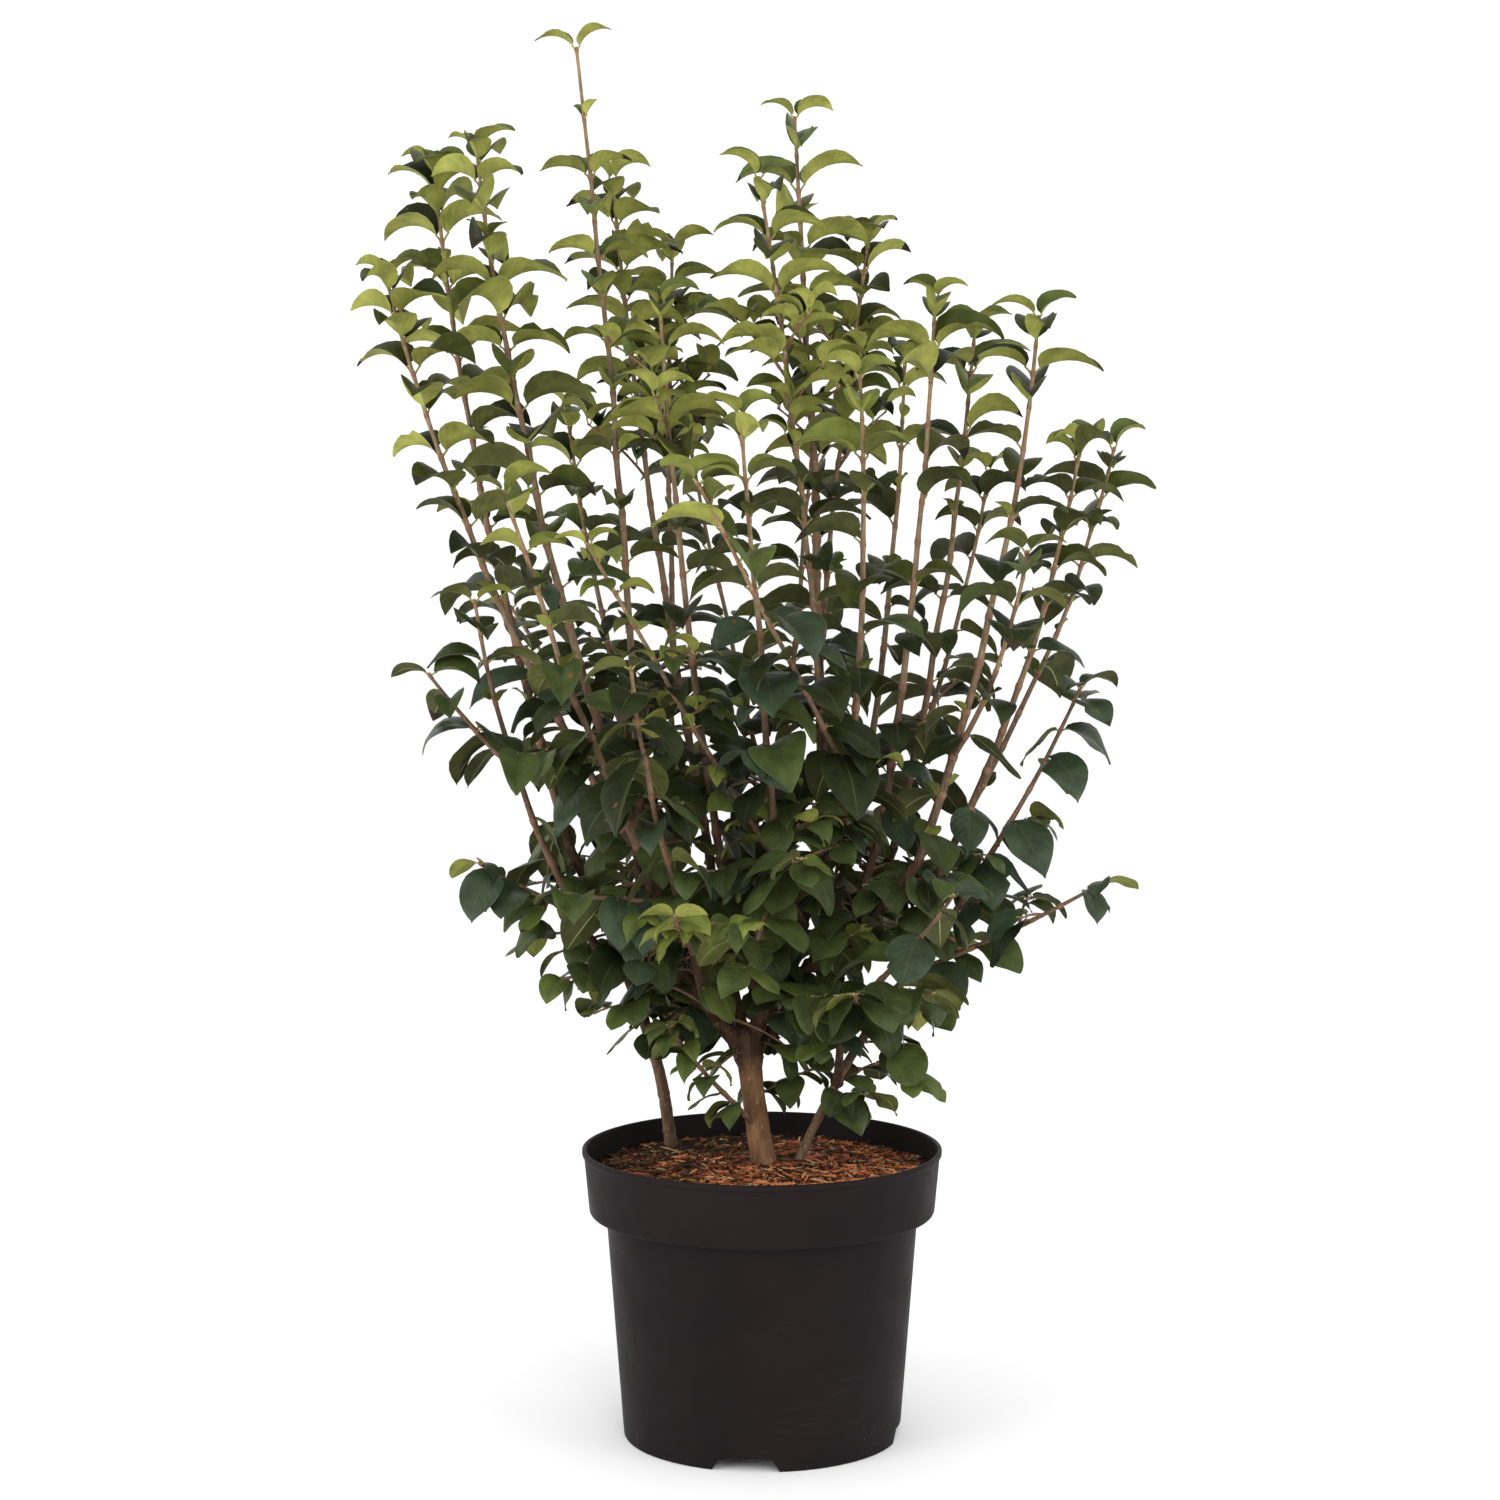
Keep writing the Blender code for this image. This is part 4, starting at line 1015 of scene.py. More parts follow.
def turned(profile, sides):
    """Points, faces and UV places in metres of a profile turned round the Z axis, from axis to axis."""
    verts, places = [(0, 0, profile[0][1])], [(0, 0)]
    run = 0.0
    for before, (radius, height) in zip(profile, profile[1:-1]):
        run += math.hypot(radius - before[0], height - before[1])
        for side in range(sides):
            angle = math.tau * side / sides
            verts.append((radius * math.cos(angle), radius * math.sin(angle), height))
            places.append((abs(angle - math.pi) * RIM_RADIUS, run))
    verts.append((0, 0, profile[-1][1]))
    places.append((0, run))
    faces = []
    last = len(verts) - 1
    for side in range(sides):
        after = (side + 1) % sides
        faces.append((0, 1 + after, 1 + side))
        for near in range(1, last - sides, sides):
            far = near + sides
            faces.append((near + side, near + after, far + after, far + side))
        faces.append((last - sides + side, last - sides + after, last))
    return verts, faces, places


def make_pot(material):
    foot_wall = BODY_FOOT_RADIUS - 1.3 * WALL
    profile = rounded_profile([
        (0, FLOOR_HEIGHT, 0),
        (foot_wall, FLOOR_HEIGHT, 0.0010),
        (foot_wall, 0, 0.0007),
        (BODY_FOOT_RADIUS, 0, 0.0016),
        (BODY_TOP_RADIUS, COLLAR_FOOT, 0.0012),
        (COLLAR_FOOT_RADIUS, COLLAR_FOOT, 0.0034),
        (RIM_RADIUS - 0.0016, LIP_FOOT - 0.0012, 0.0008),
        (RIM_RADIUS, LIP_FOOT, 0.0008),
        (RIM_RADIUS, POT_HEIGHT, 0.0014),
        (INNER_RIM, POT_HEIGHT, 0.0014),
        (pot_inner_radius(COLLAR_FOOT + WALL), COLLAR_FOOT + WALL, 0.0020),
        (BODY_TOP_RADIUS - WALL, COLLAR_FOOT + WALL, 0.0010),
        (BODY_FOOT_RADIUS - WALL, FLOOR_HEIGHT + WALL, 0.0020),
        (0, FLOOR_HEIGHT + WALL, 0),
    ])
    pot = MeshBag().add(*turned(profile, POT_SIDES)).make("nursery_pot", [material], math.radians(40))
    notches = make_notch_cutter()
    cut = pot.modifiers.new("foot_notches", "BOOLEAN")
    cut.operation = "DIFFERENCE"
    cut.object = notches
    apply_modifiers(pot)
    bpy.data.objects.remove(notches, do_unlink=True)
    pot.data.set_sharp_from_angle(angle=math.radians(40))
    settle(pot, ["pot"])


def apply_modifiers(item):
    bpy.context.view_layer.update()
    graph = bpy.context.evaluated_depsgraph_get()
    mesh = bpy.data.meshes.new_from_object(item.evaluated_get(graph))
    item.modifiers.clear()
    item.data = mesh
    mesh.name = item.name


def make_notch_cutter():
    """Wedges that open the foot ring, wider at the ground than at their top."""
    inside, outside = BODY_FOOT_RADIUS - 0.018, BODY_FOOT_RADIUS + 0.010
    below = -0.004
    slope = (NOTCH_FOOT_WIDTH - NOTCH_TOP_WIDTH) / NOTCH_HEIGHT
    shape = bmesh.new()
    for number in range(NOTCHES):
        angle = NOTCH_TURN - math.pi / 2 + math.tau * number / NOTCHES
        out = Vector((math.cos(angle), math.sin(angle), 0))
        along = UP.cross(out)
        corners = []
        for distance in (inside, outside):
            for side, height in ((-1, below), (1, below), (1, NOTCH_HEIGHT), (-1, NOTCH_HEIGHT)):
                half = (NOTCH_FOOT_WIDTH - slope * height) / 2
                corners.append(shape.verts.new(out * distance + along * side * half + UP * height))
        shape.faces.new(corners[3::-1])
        shape.faces.new(corners[4:])
        for corner in range(4):
            after = (corner + 1) % 4
            shape.faces.new((corners[corner], corners[after], corners[4 + after], corners[4 + corner]))
    bmesh.ops.recalc_face_normals(shape, faces=shape.faces)
    mesh = bpy.data.meshes.new("foot_notches")
    shape.to_mesh(mesh)
    shape.free()
    cutter = bpy.data.objects.new("foot_notches", mesh)
    bpy.context.scene.collection.objects.link(cutter)
    return cutter


# The soil


def soil_level(radius):
    share = max(0.0, radius - SOIL_FLAT_RADIUS) / (pot_inner_radius(SOIL_EDGE) - SOIL_FLAT_RADIUS)
    return between(SOIL_TOP, SOIL_EDGE, share)


def soil_height(x, y):
    """The rough top of the potting mix, heaped a little round the stems."""
    level = soil_level(math.hypot(x, y))
    for stem in STEMS:
        near = math.hypot(x - stem.foot[0], y - stem.foot[1])
        level += HEAP * hump(near, 0, HEAP_REACH)
    rough = noise.fractal(Vector((x * 60, y * 60, 0.3)), 0.6, 2.1, 4)
    return level + SOIL_RELIEF * rough


def make_soil(material):
    """The potting mix: a plug with the solid's sides, under a rough top."""
    room = 0.0004
    floor = FLOOR_HEIGHT + WALL + room
    shelf = COLLAR_FOOT + WALL + room
    edge = pot_inner_radius(SOIL_EDGE) - room
    profile = [
        (0, floor),
        (BODY_FOOT_RADIUS - WALL - room, floor),
        (BODY_TOP_RADIUS - WALL - room, shelf),
        (pot_inner_radius(shelf) - room, shelf),
    ]
    profile += [(edge * (1 - step / SOIL_RINGS), SOIL_EDGE) for step in range(SOIL_RINGS + 1)]
    verts, faces, places = turned(profile, SOIL_SIDES)
    verts = [(x, y, soil_height(x, y) if z >= SOIL_EDGE else z) for x, y, z in verts]
    settle(MeshBag().add(verts, faces, places).make("potting_mix", [material]), ["soil"])


def chip(length, width, thickness, rule):
    """A torn flake of bark: an uneven outline with a bent, thin body."""
    outline = []
    for corner in range(CHIP_CORNERS):
        angle = math.tau * (corner + rule.uniform(-0.3, 0.3)) / CHIP_CORNERS
        outline.append((math.cos(angle) * length / 2 * rule.uniform(0.7, 1.0),
                        math.sin(angle) * width / 2 * rule.uniform(0.6, 1.0)))
    bend = rule.uniform(-0.12, 0.16) / length
    verts = [(x, y, thickness / 2 + bend * x * x) for x, y in outline]
    verts += [(x * 0.92, y * 0.9, -thickness / 2 + bend * x * x) for x, y in outline]
    faces = [tuple(range(CHIP_CORNERS)), tuple(reversed(range(CHIP_CORNERS, 2 * CHIP_CORNERS)))]
    for corner in range(CHIP_CORNERS):
        after = (corner + 1) % CHIP_CORNERS
        faces.append((corner, CHIP_CORNERS + corner, CHIP_CORNERS + after, after))
    return verts, faces


def lay_on_soil(verts, x, y, rule, tilt, lift):
    """Turns a small piece and lays it on the soil, where it stays inside the pot and off the stems."""
    spin = Matrix.Rotation(rule.uniform(0, math.tau), 4, "Z")
    pitch, roll = (Matrix.Rotation(rule.uniform(-tilt, tilt), 4, axis) for axis in "XY")
    turn = spin @ (pitch @ roll)
    place = Vector((x, y, soil_height(x, y) + lift))
    laid = [place + turn @ Vector(vert) for vert in verts]
    furthest = max(math.hypot(vert.x, vert.y) for vert in laid)
    fits = furthest < pot_inner_radius(SOIL_EDGE) - EDGE_ROOM
    for stem in STEMS:
        if math.hypot(x - stem.foot[0], y - stem.foot[1]) < stem.foot_radius + STEM_ROOM:
            fits = False
    return laid if fits else None


def mulch_tone(x, y, rule):
    """The tone of a piece: orange towards the front, dark and mossy towards the left and the back."""
    front = eased(0.0, 0.10, 0.3 * x - y)
    rear = eased(0.0, 0.09, 0.7 * (y - x))
    patch = max(0.0, noise.noise(Vector((x * 24, y * 24, 5.0))))
    shares = [tone.share + tone.front * front + tone.rear * rear + tone.patch * patch for tone in CHIP_TONES]
    return rule.choices(range(len(CHIP_TONES)), shares)[0]


def make_mulch():
    """Bark chips, fibres, pale flecks and small sticks over the potting mix."""
    rule = random.Random(MULCH_SEED)
    inside = pot_inner_radius(SOIL_EDGE)

    def spot():
        radius, angle = inside * math.sqrt(rule.random()), rule.uniform(0, math.tau)
        return radius * math.cos(angle), radius * math.sin(angle)

    chips, fibres, flecks = MeshBag(), MeshBag(), MeshBag()
    for kind in (CRUMBS, SLIVERS, FLAKES):
        for _ in range(kind.count):
            x, y = spot()
            length = rule.uniform(*kind.length)
            width = rule.uniform(*kind.width) * (length if kind is CRUMBS else 1)
            lift = rule.uniform(*kind.lift)
            verts, faces = chip(length, width, rule.uniform(*CHIP_THICKNESS), rule)
            laid = lay_on_soil(verts, x, y, rule, kind.tilt, lift)
            if laid:
                chips.add(laid, faces, slots=mulch_tone(x, y, rule))
    for kind in (FIBRES, STICKS):
        for _ in range(kind.count):
            x, y = spot()
            length, radius = rule.uniform(*kind.length), rule.uniform(*kind.width)
            bow = (0, rule.uniform(-0.12, 0.12) * length, 0)
            line = Line(bent_line((-length / 2, 0, 0), (length / 2, 0, 0), bow, length / 4))
            rings = [line.whole * step / 4 for step in range(5)]
            radii = [radius * wide for wide in FIBRE_SHAPE]
            verts, faces = tube(line, rings, radii, 5)[:2]
            laid = lay_on_soil(verts, x, y, rule, kind.tilt, rule.uniform(*kind.lift))
            if laid:
                is_pale = kind is STICKS or rule.random() < PALE_FIBRES
                fibres.add(laid, faces, slots=MULCH_PALE if is_pale else mulch_tone(x, y, rule))
    for _ in range(FLECKS.count):
        x, y = spot()
        shape = bmesh.new()
        bmesh.ops.create_icosphere(shape, subdivisions=1, radius=rule.uniform(*FLECKS.width))
        verts = [vert.co * rule.uniform(0.7, 1.1) for vert in shape.verts]
        faces = [tuple(vert.index for vert in face.verts) for face in shape.faces]
        shape.free()
        laid = lay_on_soil(verts, x, y, rule, FLECKS.tilt, rule.uniform(*FLECKS.lift))
        if laid:
            flecks.add(laid, faces)
    materials = [chip_material(tone.name, tone.colour) for tone in CHIP_TONES]
    settle(chips.make("bark_chips", materials, math.radians(35)), [])
    settle(fibres.make("bark_fibres", materials), [])
    pale = rough_material("pale_fleck", FLECK_COLOUR, 0.8, 0.3, 900.0, 0.0004)
    settle(flecks.make("pale_flecks", [pale]), [])


# Limbs


class Wood:
    """The trunk, stems and boughs: their lines and radii, by name."""

    def __init__(self):
        self.lines = {}
        self.radii = {}
        for stem in STEMS:
            foot = Vector((*stem.foot, soil_level(math.hypot(*stem.foot)) - 0.003))
            self.add(stem, foot, TRUNK_WANDER if stem.name == "trunk" else LIMB_WANDER)
        for limb in LIMBS:
            self.add(limb, self.start_on(limb.parent, limb.along), LIMB_WANDER)

    def add(self, limb, start, wander):
        points = bent_line(start, limb.tip, limb.bow, LINE_STEP)
        self.lines[limb.name] = Line(wandering(points, wander, len(self.lines)))
        self.radii[limb.name] = (limb.foot_radius, limb.tip_radius)

    def start_on(self, name, along):
        """The point inside a limb that another one grows from."""
        line = self.lines[name]
        inside_tip = line.whole - 0.6 * self.radii[name][1]
        return line.place(min(line.whole * along, inside_tip))[0]

    def radius_at(self, name, distance):
        foot, tip = self.radii[name]
        return between(foot, tip, min(1.0, distance / self.lines[name].whole))


def ridges(point, across, up, layers):
    """Uneven ridges that run up a limb."""
    return noise.fractal(Vector((point.x * across, point.y * across, point.z * up)), 0.7, 2.0, layers)


def trunk_relief(whole):
    """The flare at the soil, ridges up the trunk, and the lumps and wrinkles of its fork."""

    def relief(point, distance, angle):
        flare = FLARE * max(0.0, 1 - (distance - 0.003) / FLARE_HEIGHT) ** 2
        flare *= 1 + 0.45 * math.sin(3 * angle + 0.8)
        near_fork = hump(whole - distance, 0, FORK_LENGTH)
        lumps = noise.noise(point * 105) * LUMPS * near_fork
        wrinkles = WRINKLES * near_fork * math.sin(point.z * 1500 + 5 * noise.noise(point * 60))
        knob = KNOB * hump((whole - distance) / KNOB_LENGTH, 0.6, 1)
        burl = BURL * hump(distance, BURL_PLACE, BURL_LENGTH) * max(0.0, math.cos(angle - 1.0))
        return flare + knob + lumps + wrinkles + burl + RIDGE * ridges(point, 210, 34, 4)

    return relief


def limb_relief(parent_radius, radius, seed):
    """Bark ridges, old leaf scars that ring the limb, and a flare where it leaves its parent."""

    def relief(point, distance, angle):
        flare = LIMB_FLARE * radius * math.exp(-distance / (1.1 * parent_radius))
        scars = SCARS * max(0.0, math.cos(math.tau * (distance / SCAR_SPACING + seed * 0.37))) ** 24
        rough = LIMB_ROUGH + FOOT_ROUGH * math.exp(-distance / FOOT_ROUGH_LENGTH)
        return flare + radius * (rough * ridges(point, 300, 60, 3) + scars) + DENTS * noise.noise(point * 80)

    return relief


def make_wood(wood):
    """The trunk, stems and boughs in one piece, each as a tube with its own bark relief."""
    stems = {stem.name for stem in STEMS}
    parents = {limb.name: limb.parent for limb in LIMBS}
    bag = MeshBag()
    for number, (name, line) in enumerate(wood.lines.items()):
        is_trunk = name == "trunk"
        count = max(6, round(line.whole / LIMB_STEP))
        distances = [line.whole * step / count for step in range(count + 1)]
        radii = [wood.radius_at(name, distance) for distance in distances]
        distances, radii = rounded_end(distances, radii)
        if is_trunk:
            relief = trunk_relief(line.whole)
        else:
            parent_radius = wood.radii[parents[name]][1] if name in parents else wood.radii[name][0]
            relief = limb_relief(parent_radius, wood.radii[name][0], number)
        sides = TRUNK_SIDES if is_trunk else LIMB_SIDES
        slot = 0 if is_trunk else 1 + (name in stems)
        bag.add(*tube(line, distances, radii, sides, relief), slot)
    materials = [
        bark_material("bark_trunk", TRUNK_BARK, 260.0, SHADED_BOUGH_BARK),
        # The boughs' bark is painted dark, as painted shade
        bark_material("bark_boughs", SHADED_BOUGH_BARK, 330.0),
        bark_material("bark_stems", STEM_BARK, 330.0, SHADED_BOUGH_BARK),
    ]
    settle(bag.make("trunk_and_boughs", materials), sorted(wood.lines))


# Leaves


def leaf_outline(along, point):
    """The half width of a leaf as a share of its widest. A higher point draws its tip out more."""
    widest = 0.5 / (0.5 + point)
    full = math.sqrt(widest) * (1 - widest) ** point
    return np.maximum(np.sqrt(along) * (1 - along) ** point / full, 0.035)


def blade_points(leaf, rows, columns):
    """Points on the middle surface of a leaf, as an array of rows along it and columns across."""
    u, v = rows[:, None], columns[None, :]
    span = leaf.rise + leaf.droop
    turn = leaf.rise - span * rows
    along = (math.sin(leaf.rise) - np.sin(turn)) / span
    up = (np.cos(turn) - math.cos(leaf.rise)) / span
    out, rising = np.array(leaf.out), np.array((0.0, 0.0, 1.0))
    side = np.cross(rising, out)
    middle = np.array(leaf.base) + leaf.size * (along[:, None] * out + up[:, None] * rising)
    ahead = np.cos(turn)[:, None] * out + np.sin(turn)[:, None] * rising
    normal = -np.sin(turn)[:, None] * out + np.cos(turn)[:, None] * rising
    rolled = (leaf.roll + leaf.twist * rows)[:, None]
    cosine, sine = np.cos(rolled), np.sin(rolled)
    side, normal = cosine * side + sine * normal, cosine * normal - sine * side
    width = leaf.half_width * leaf.size * leaf_outline(u, leaf.point) * np.abs(v)
    bite_place = BITE_PLACES[int(leaf.phase) % len(BITE_PLACES)]
    bitten = np.exp(-(((u - bite_place) / BITE_LENGTH) ** 2))
    width = width * (1 - abs(leaf.bite) * bitten * (np.sign(v) == np.sign(leaf.bite)))
    angle = leaf.fold * (1 - 0.25 * u) - leaf.curl * np.abs(v)
    height = width * np.sin(angle)
    height = height + leaf.wave * leaf.size * v * v * np.sin(WAVES * u + leaf.phase + 2.0 * np.sign(v))
    lateral = np.sign(v) * width * np.cos(angle)
    back = -leaf.lobe * leaf.size * np.abs(v) ** 1.5 * np.exp(-u / LOBE_LENGTH)
    return (
        middle[:, None, :] + side[:, None, :] * lateral[:, :, None]
        + normal[:, None, :] * height[:, :, None] + ahead[:, None, :] * back[:, :, None]
    )


def leaf_template():
    """What all leaves share: faces of a closed leaf whose two sides meet at the margin, the part of the
    leaf that each face belongs to, and the UV places of its points."""
    rows, columns = len(LEAF_ROWS), len(LEAF_COLUMNS)
    under = {}
    number = rows * columns
    for i in range(1, rows - 1):
        for j in range(1, columns - 1):
            under[i, j] = number
            number += 1
    faces, parts = [], []
    for i in range(rows - 1):
        for j in range(columns - 1):
            near, far, far_on, near_on = (i, j), (i + 1, j), (i + 1, j + 1), (i, j + 1)
            is_left = j < columns // 2
            is_tip = i == rows - 2
            if is_left != is_tip:
                halves = ((near, far, far_on), (near, far_on, near_on))
            else:
                halves = ((near, far, near_on), (far, far_on, near_on))
            middle = j == columns // 2 - 1
            for half in halves:
                faces.append(tuple(row * columns + column for row, column in half))
                faces.append(tuple(under.get(cell, cell[0] * columns + cell[1]) for cell in reversed(half)))
                parts += [(i, middle, True), (i, middle, False)]
    grid = np.stack(np.meshgrid(LEAF_ROWS, (LEAF_COLUMNS + 1) / 2, indexing="ij"), axis=2)
    places = np.concatenate([grid.reshape(-1, 2), grid[1:-1, 1:-1].reshape(-1, 2)])
    return faces, parts, places


def leaf_mesh(leaf, template):
    """Points, faces, materials and UV places of one leaf with its thickness."""
    faces, parts, places = template
    points = blade_points(leaf, LEAF_ROWS, LEAF_COLUMNS)
    along, across = np.gradient(points, axis=0), np.gradient(points, axis=1)
    normal = np.cross(along, across)
    normal /= np.linalg.norm(normal, axis=2)[:, :, None] + 1e-12
    offset = normal * LEAF_THICKNESS / 2
    upper = points.copy()
    upper[1:-1, 1:-1] += offset[1:-1, 1:-1]
    lower = (points - offset)[1:-1, 1:-1]
    verts = np.concatenate([upper.reshape(-1, 3), lower.reshape(-1, 3)])
    rib_above = RIB_PALE if leaf.top == TONE_NUMBERS["leaf_fresh"] else RIB_DEEP
    slots = []
    for row, is_middle, is_above in parts:
        if leaf.dry and row >= len(LEAF_ROWS) - 1 - leaf.dry:
            slots.append(DRY)
        elif is_middle:
            slots.append(rib_above if is_above else RIB_PALE)
        else:
            slots.append(leaf.top if is_above else leaf.under)
    return verts, faces, places, slots


# Room for the canes and leaves


class Room:
    """Everything placed so far, to keep new pieces clear of it."""

    CELL = 0.05

    def __init__(self):
        self.known = []
        self.cells = {}

    def cells_of(self, points):
        low = np.floor(points.min(axis=0) / self.CELL).astype(int)
        high = np.floor(points.max(axis=0) / self.CELL).astype(int)
        for x in range(low[0], high[0] + 1):
            for y in range(low[1], high[1] + 1):
                for z in range(low[2], high[2] + 1):
                    yield x, y, z

    @property
    def last(self):
        """The number of the piece that was noted last."""
        return len(self.known) - 1

    def note(self, points, faces):
        self.known.append(BVHTree.FromPolygons(points.tolist(), faces))
        for cell in self.cells_of(points):
            self.cells.setdefault(cell, []).append(self.last)

    def is_free(self, points, faces, besides):
        tree = BVHTree.FromPolygons(points.tolist(), faces)
        tried = set(besides)
        for cell in self.cells_of(points):
            for number in self.cells.get(cell, ()):
                if number not in tried:
                    tried.add(number)
                    if tree.overlap(self.known[number]):
                        return False
        return True


def coarse_tube(line, radius, step=0.03):
    """A three-sided stand-in of a cane, to test room with."""
    count = max(1, round(line.whole / step))
    verts = []
    for i in range(count + 1):
        point, direction = line.place(line.whole * i / count)
        across = direction.orthogonal().normalized()
        beside = direction.cross(across)
        for side in range(3):
            angle = math.tau * side / 3
            verts.append(point + radius * (across * math.cos(angle) + beside * math.sin(angle)))
    return np.array(verts), ring_faces(count + 1, 3)


def coarse_pot(sides=48):
    """A stand-in of the soil's top and the pot's collar, to test room with."""
    rings = (
        (pot_inner_radius(SOIL_EDGE), SOIL_EDGE),
        (INNER_RIM, POT_HEIGHT),
        (RIM_RADIUS, POT_HEIGHT),
        (COLLAR_FOOT_RADIUS, COLLAR_FOOT),
    )
    angles = [math.tau * side / sides for side in range(sides)]
    verts = [
        (radius * math.cos(angle), radius * math.sin(angle), height)
        for radius, height in rings for angle in angles
    ]
    return np.array(verts), [tuple(range(sides))] + ring_faces(len(rings), sides)


def grid_faces(rows, columns):
    """Faces of a grid of points that is kept row by row."""
    starts = [row * columns + column for row in range(rows - 1) for column in range(columns - 1)]
    return [(start, start + columns, start + columns + 1, start + 1) for start in starts]


def goblet_radius(height):
    for (low, narrow), (high, wide) in zip(GOBLET, GOBLET[1:]):
        if height <= high:
            return narrow + (wide - narrow) * (height - low) / (high - low)
    return GOBLET[-1][1]


def in_box(point):
    """Whether a point lies in the box that holds all the solids."""
    low, high = CAD_BOX
    return all(low[i] - BOX_ROOM < point[i] < high[i] + BOX_ROOM for i in range(3))


def by_trunk(point, room):
    """Whether a point lies close round the bare trunk, or in front of it."""
    aside = abs(point.x - TRUNK_MIDDLE)
    is_near = math.hypot(aside, point.y) < 1.6 * room
    return point.z < CLEAR_UNTIL and (is_near or (aside < room and point.y < 0))


def missing_share(point):
    """The share of leaves that the plant has lost at a place."""
    shares = [0.0]
    for (left, right), (low, high), share in THIN_ZONES:
        if left < point.x < right and low < point.z < high:
            shares.append(share)
    return max(shares)


def shaded_share(point):
    """The share of leaves painted the deepest green, as painted shade: inside the plant, in the belt where
    it closes, and in the upper part and on its right.
    """
    from_middle = math.hypot(point.x, point.y)
    x, z = point.x, point.z
    inside = SHADE_INSIDE * eased(0.15, 0.05, from_middle) * eased(0.50, 0.42, z) * eased(0.27, 0.36, z)
    belt = SHADE_BELT * eased(0.27, 0.14, from_middle) * hump(z, BELT_HEIGHT, BELT_REACH)
    upper = SHADE_UPPER * eased(0.56, 0.62, z) * eased(0.84, 0.76, z)
    right = SHADE_RIGHT * eased(0.05, 0.12, x) * eased(0.60, 0.66, z) * eased(0.94, 0.86, z)
    return between(*SHADED_SHARES, eased(0.44, 0.50, z)) + max(inside, belt, upper, right)


def pair_direction(direction, turn):
    """The level way out from a shoot for a leaf turned by an angle round it, counted from the side."""
    across = Vector((1, 0, 0)) if abs(direction.x) < 0.8 else Vector((0, 1, 0))
    across = (across - direction * across.dot(direction)).normalized()
    beside = direction.cross(across)
    out = across * math.cos(turn) + beside * math.sin(turn)
    out.z = 0
    return out.normalized()


def faced_outward(out, point, rule):
    """Low leaves and twigs turn towards the outside of the plant, and its light."""
    outside = Vector((point.x, point.y, 0)).normalized()
    pull = between(rule.uniform(*OUTWARD_PULL), 0.0, eased(LOW_UNTIL, HIGH_FROM, point.z))
    return (out + outside * pull).normalized()


def spiral_along(line, start, end, step, rule):
    """Places at even steps along a line, each with its direction and the turn of a twig round it."""
    distance, turn = start, rule.uniform(0, math.tau)
    while distance < end:
        turn += TWIG_TURN
        yield (*line.place(distance), turn)
        distance += step


def is_past_goblet(point, share=1):
    """Whether a point lies outside the goblet, or outside a share of it."""
    return math.hypot(point.x, point.y / GOBLET_DEPTH) > share * goblet_radius(point.z)


# Growing the canes, twigs and leaves


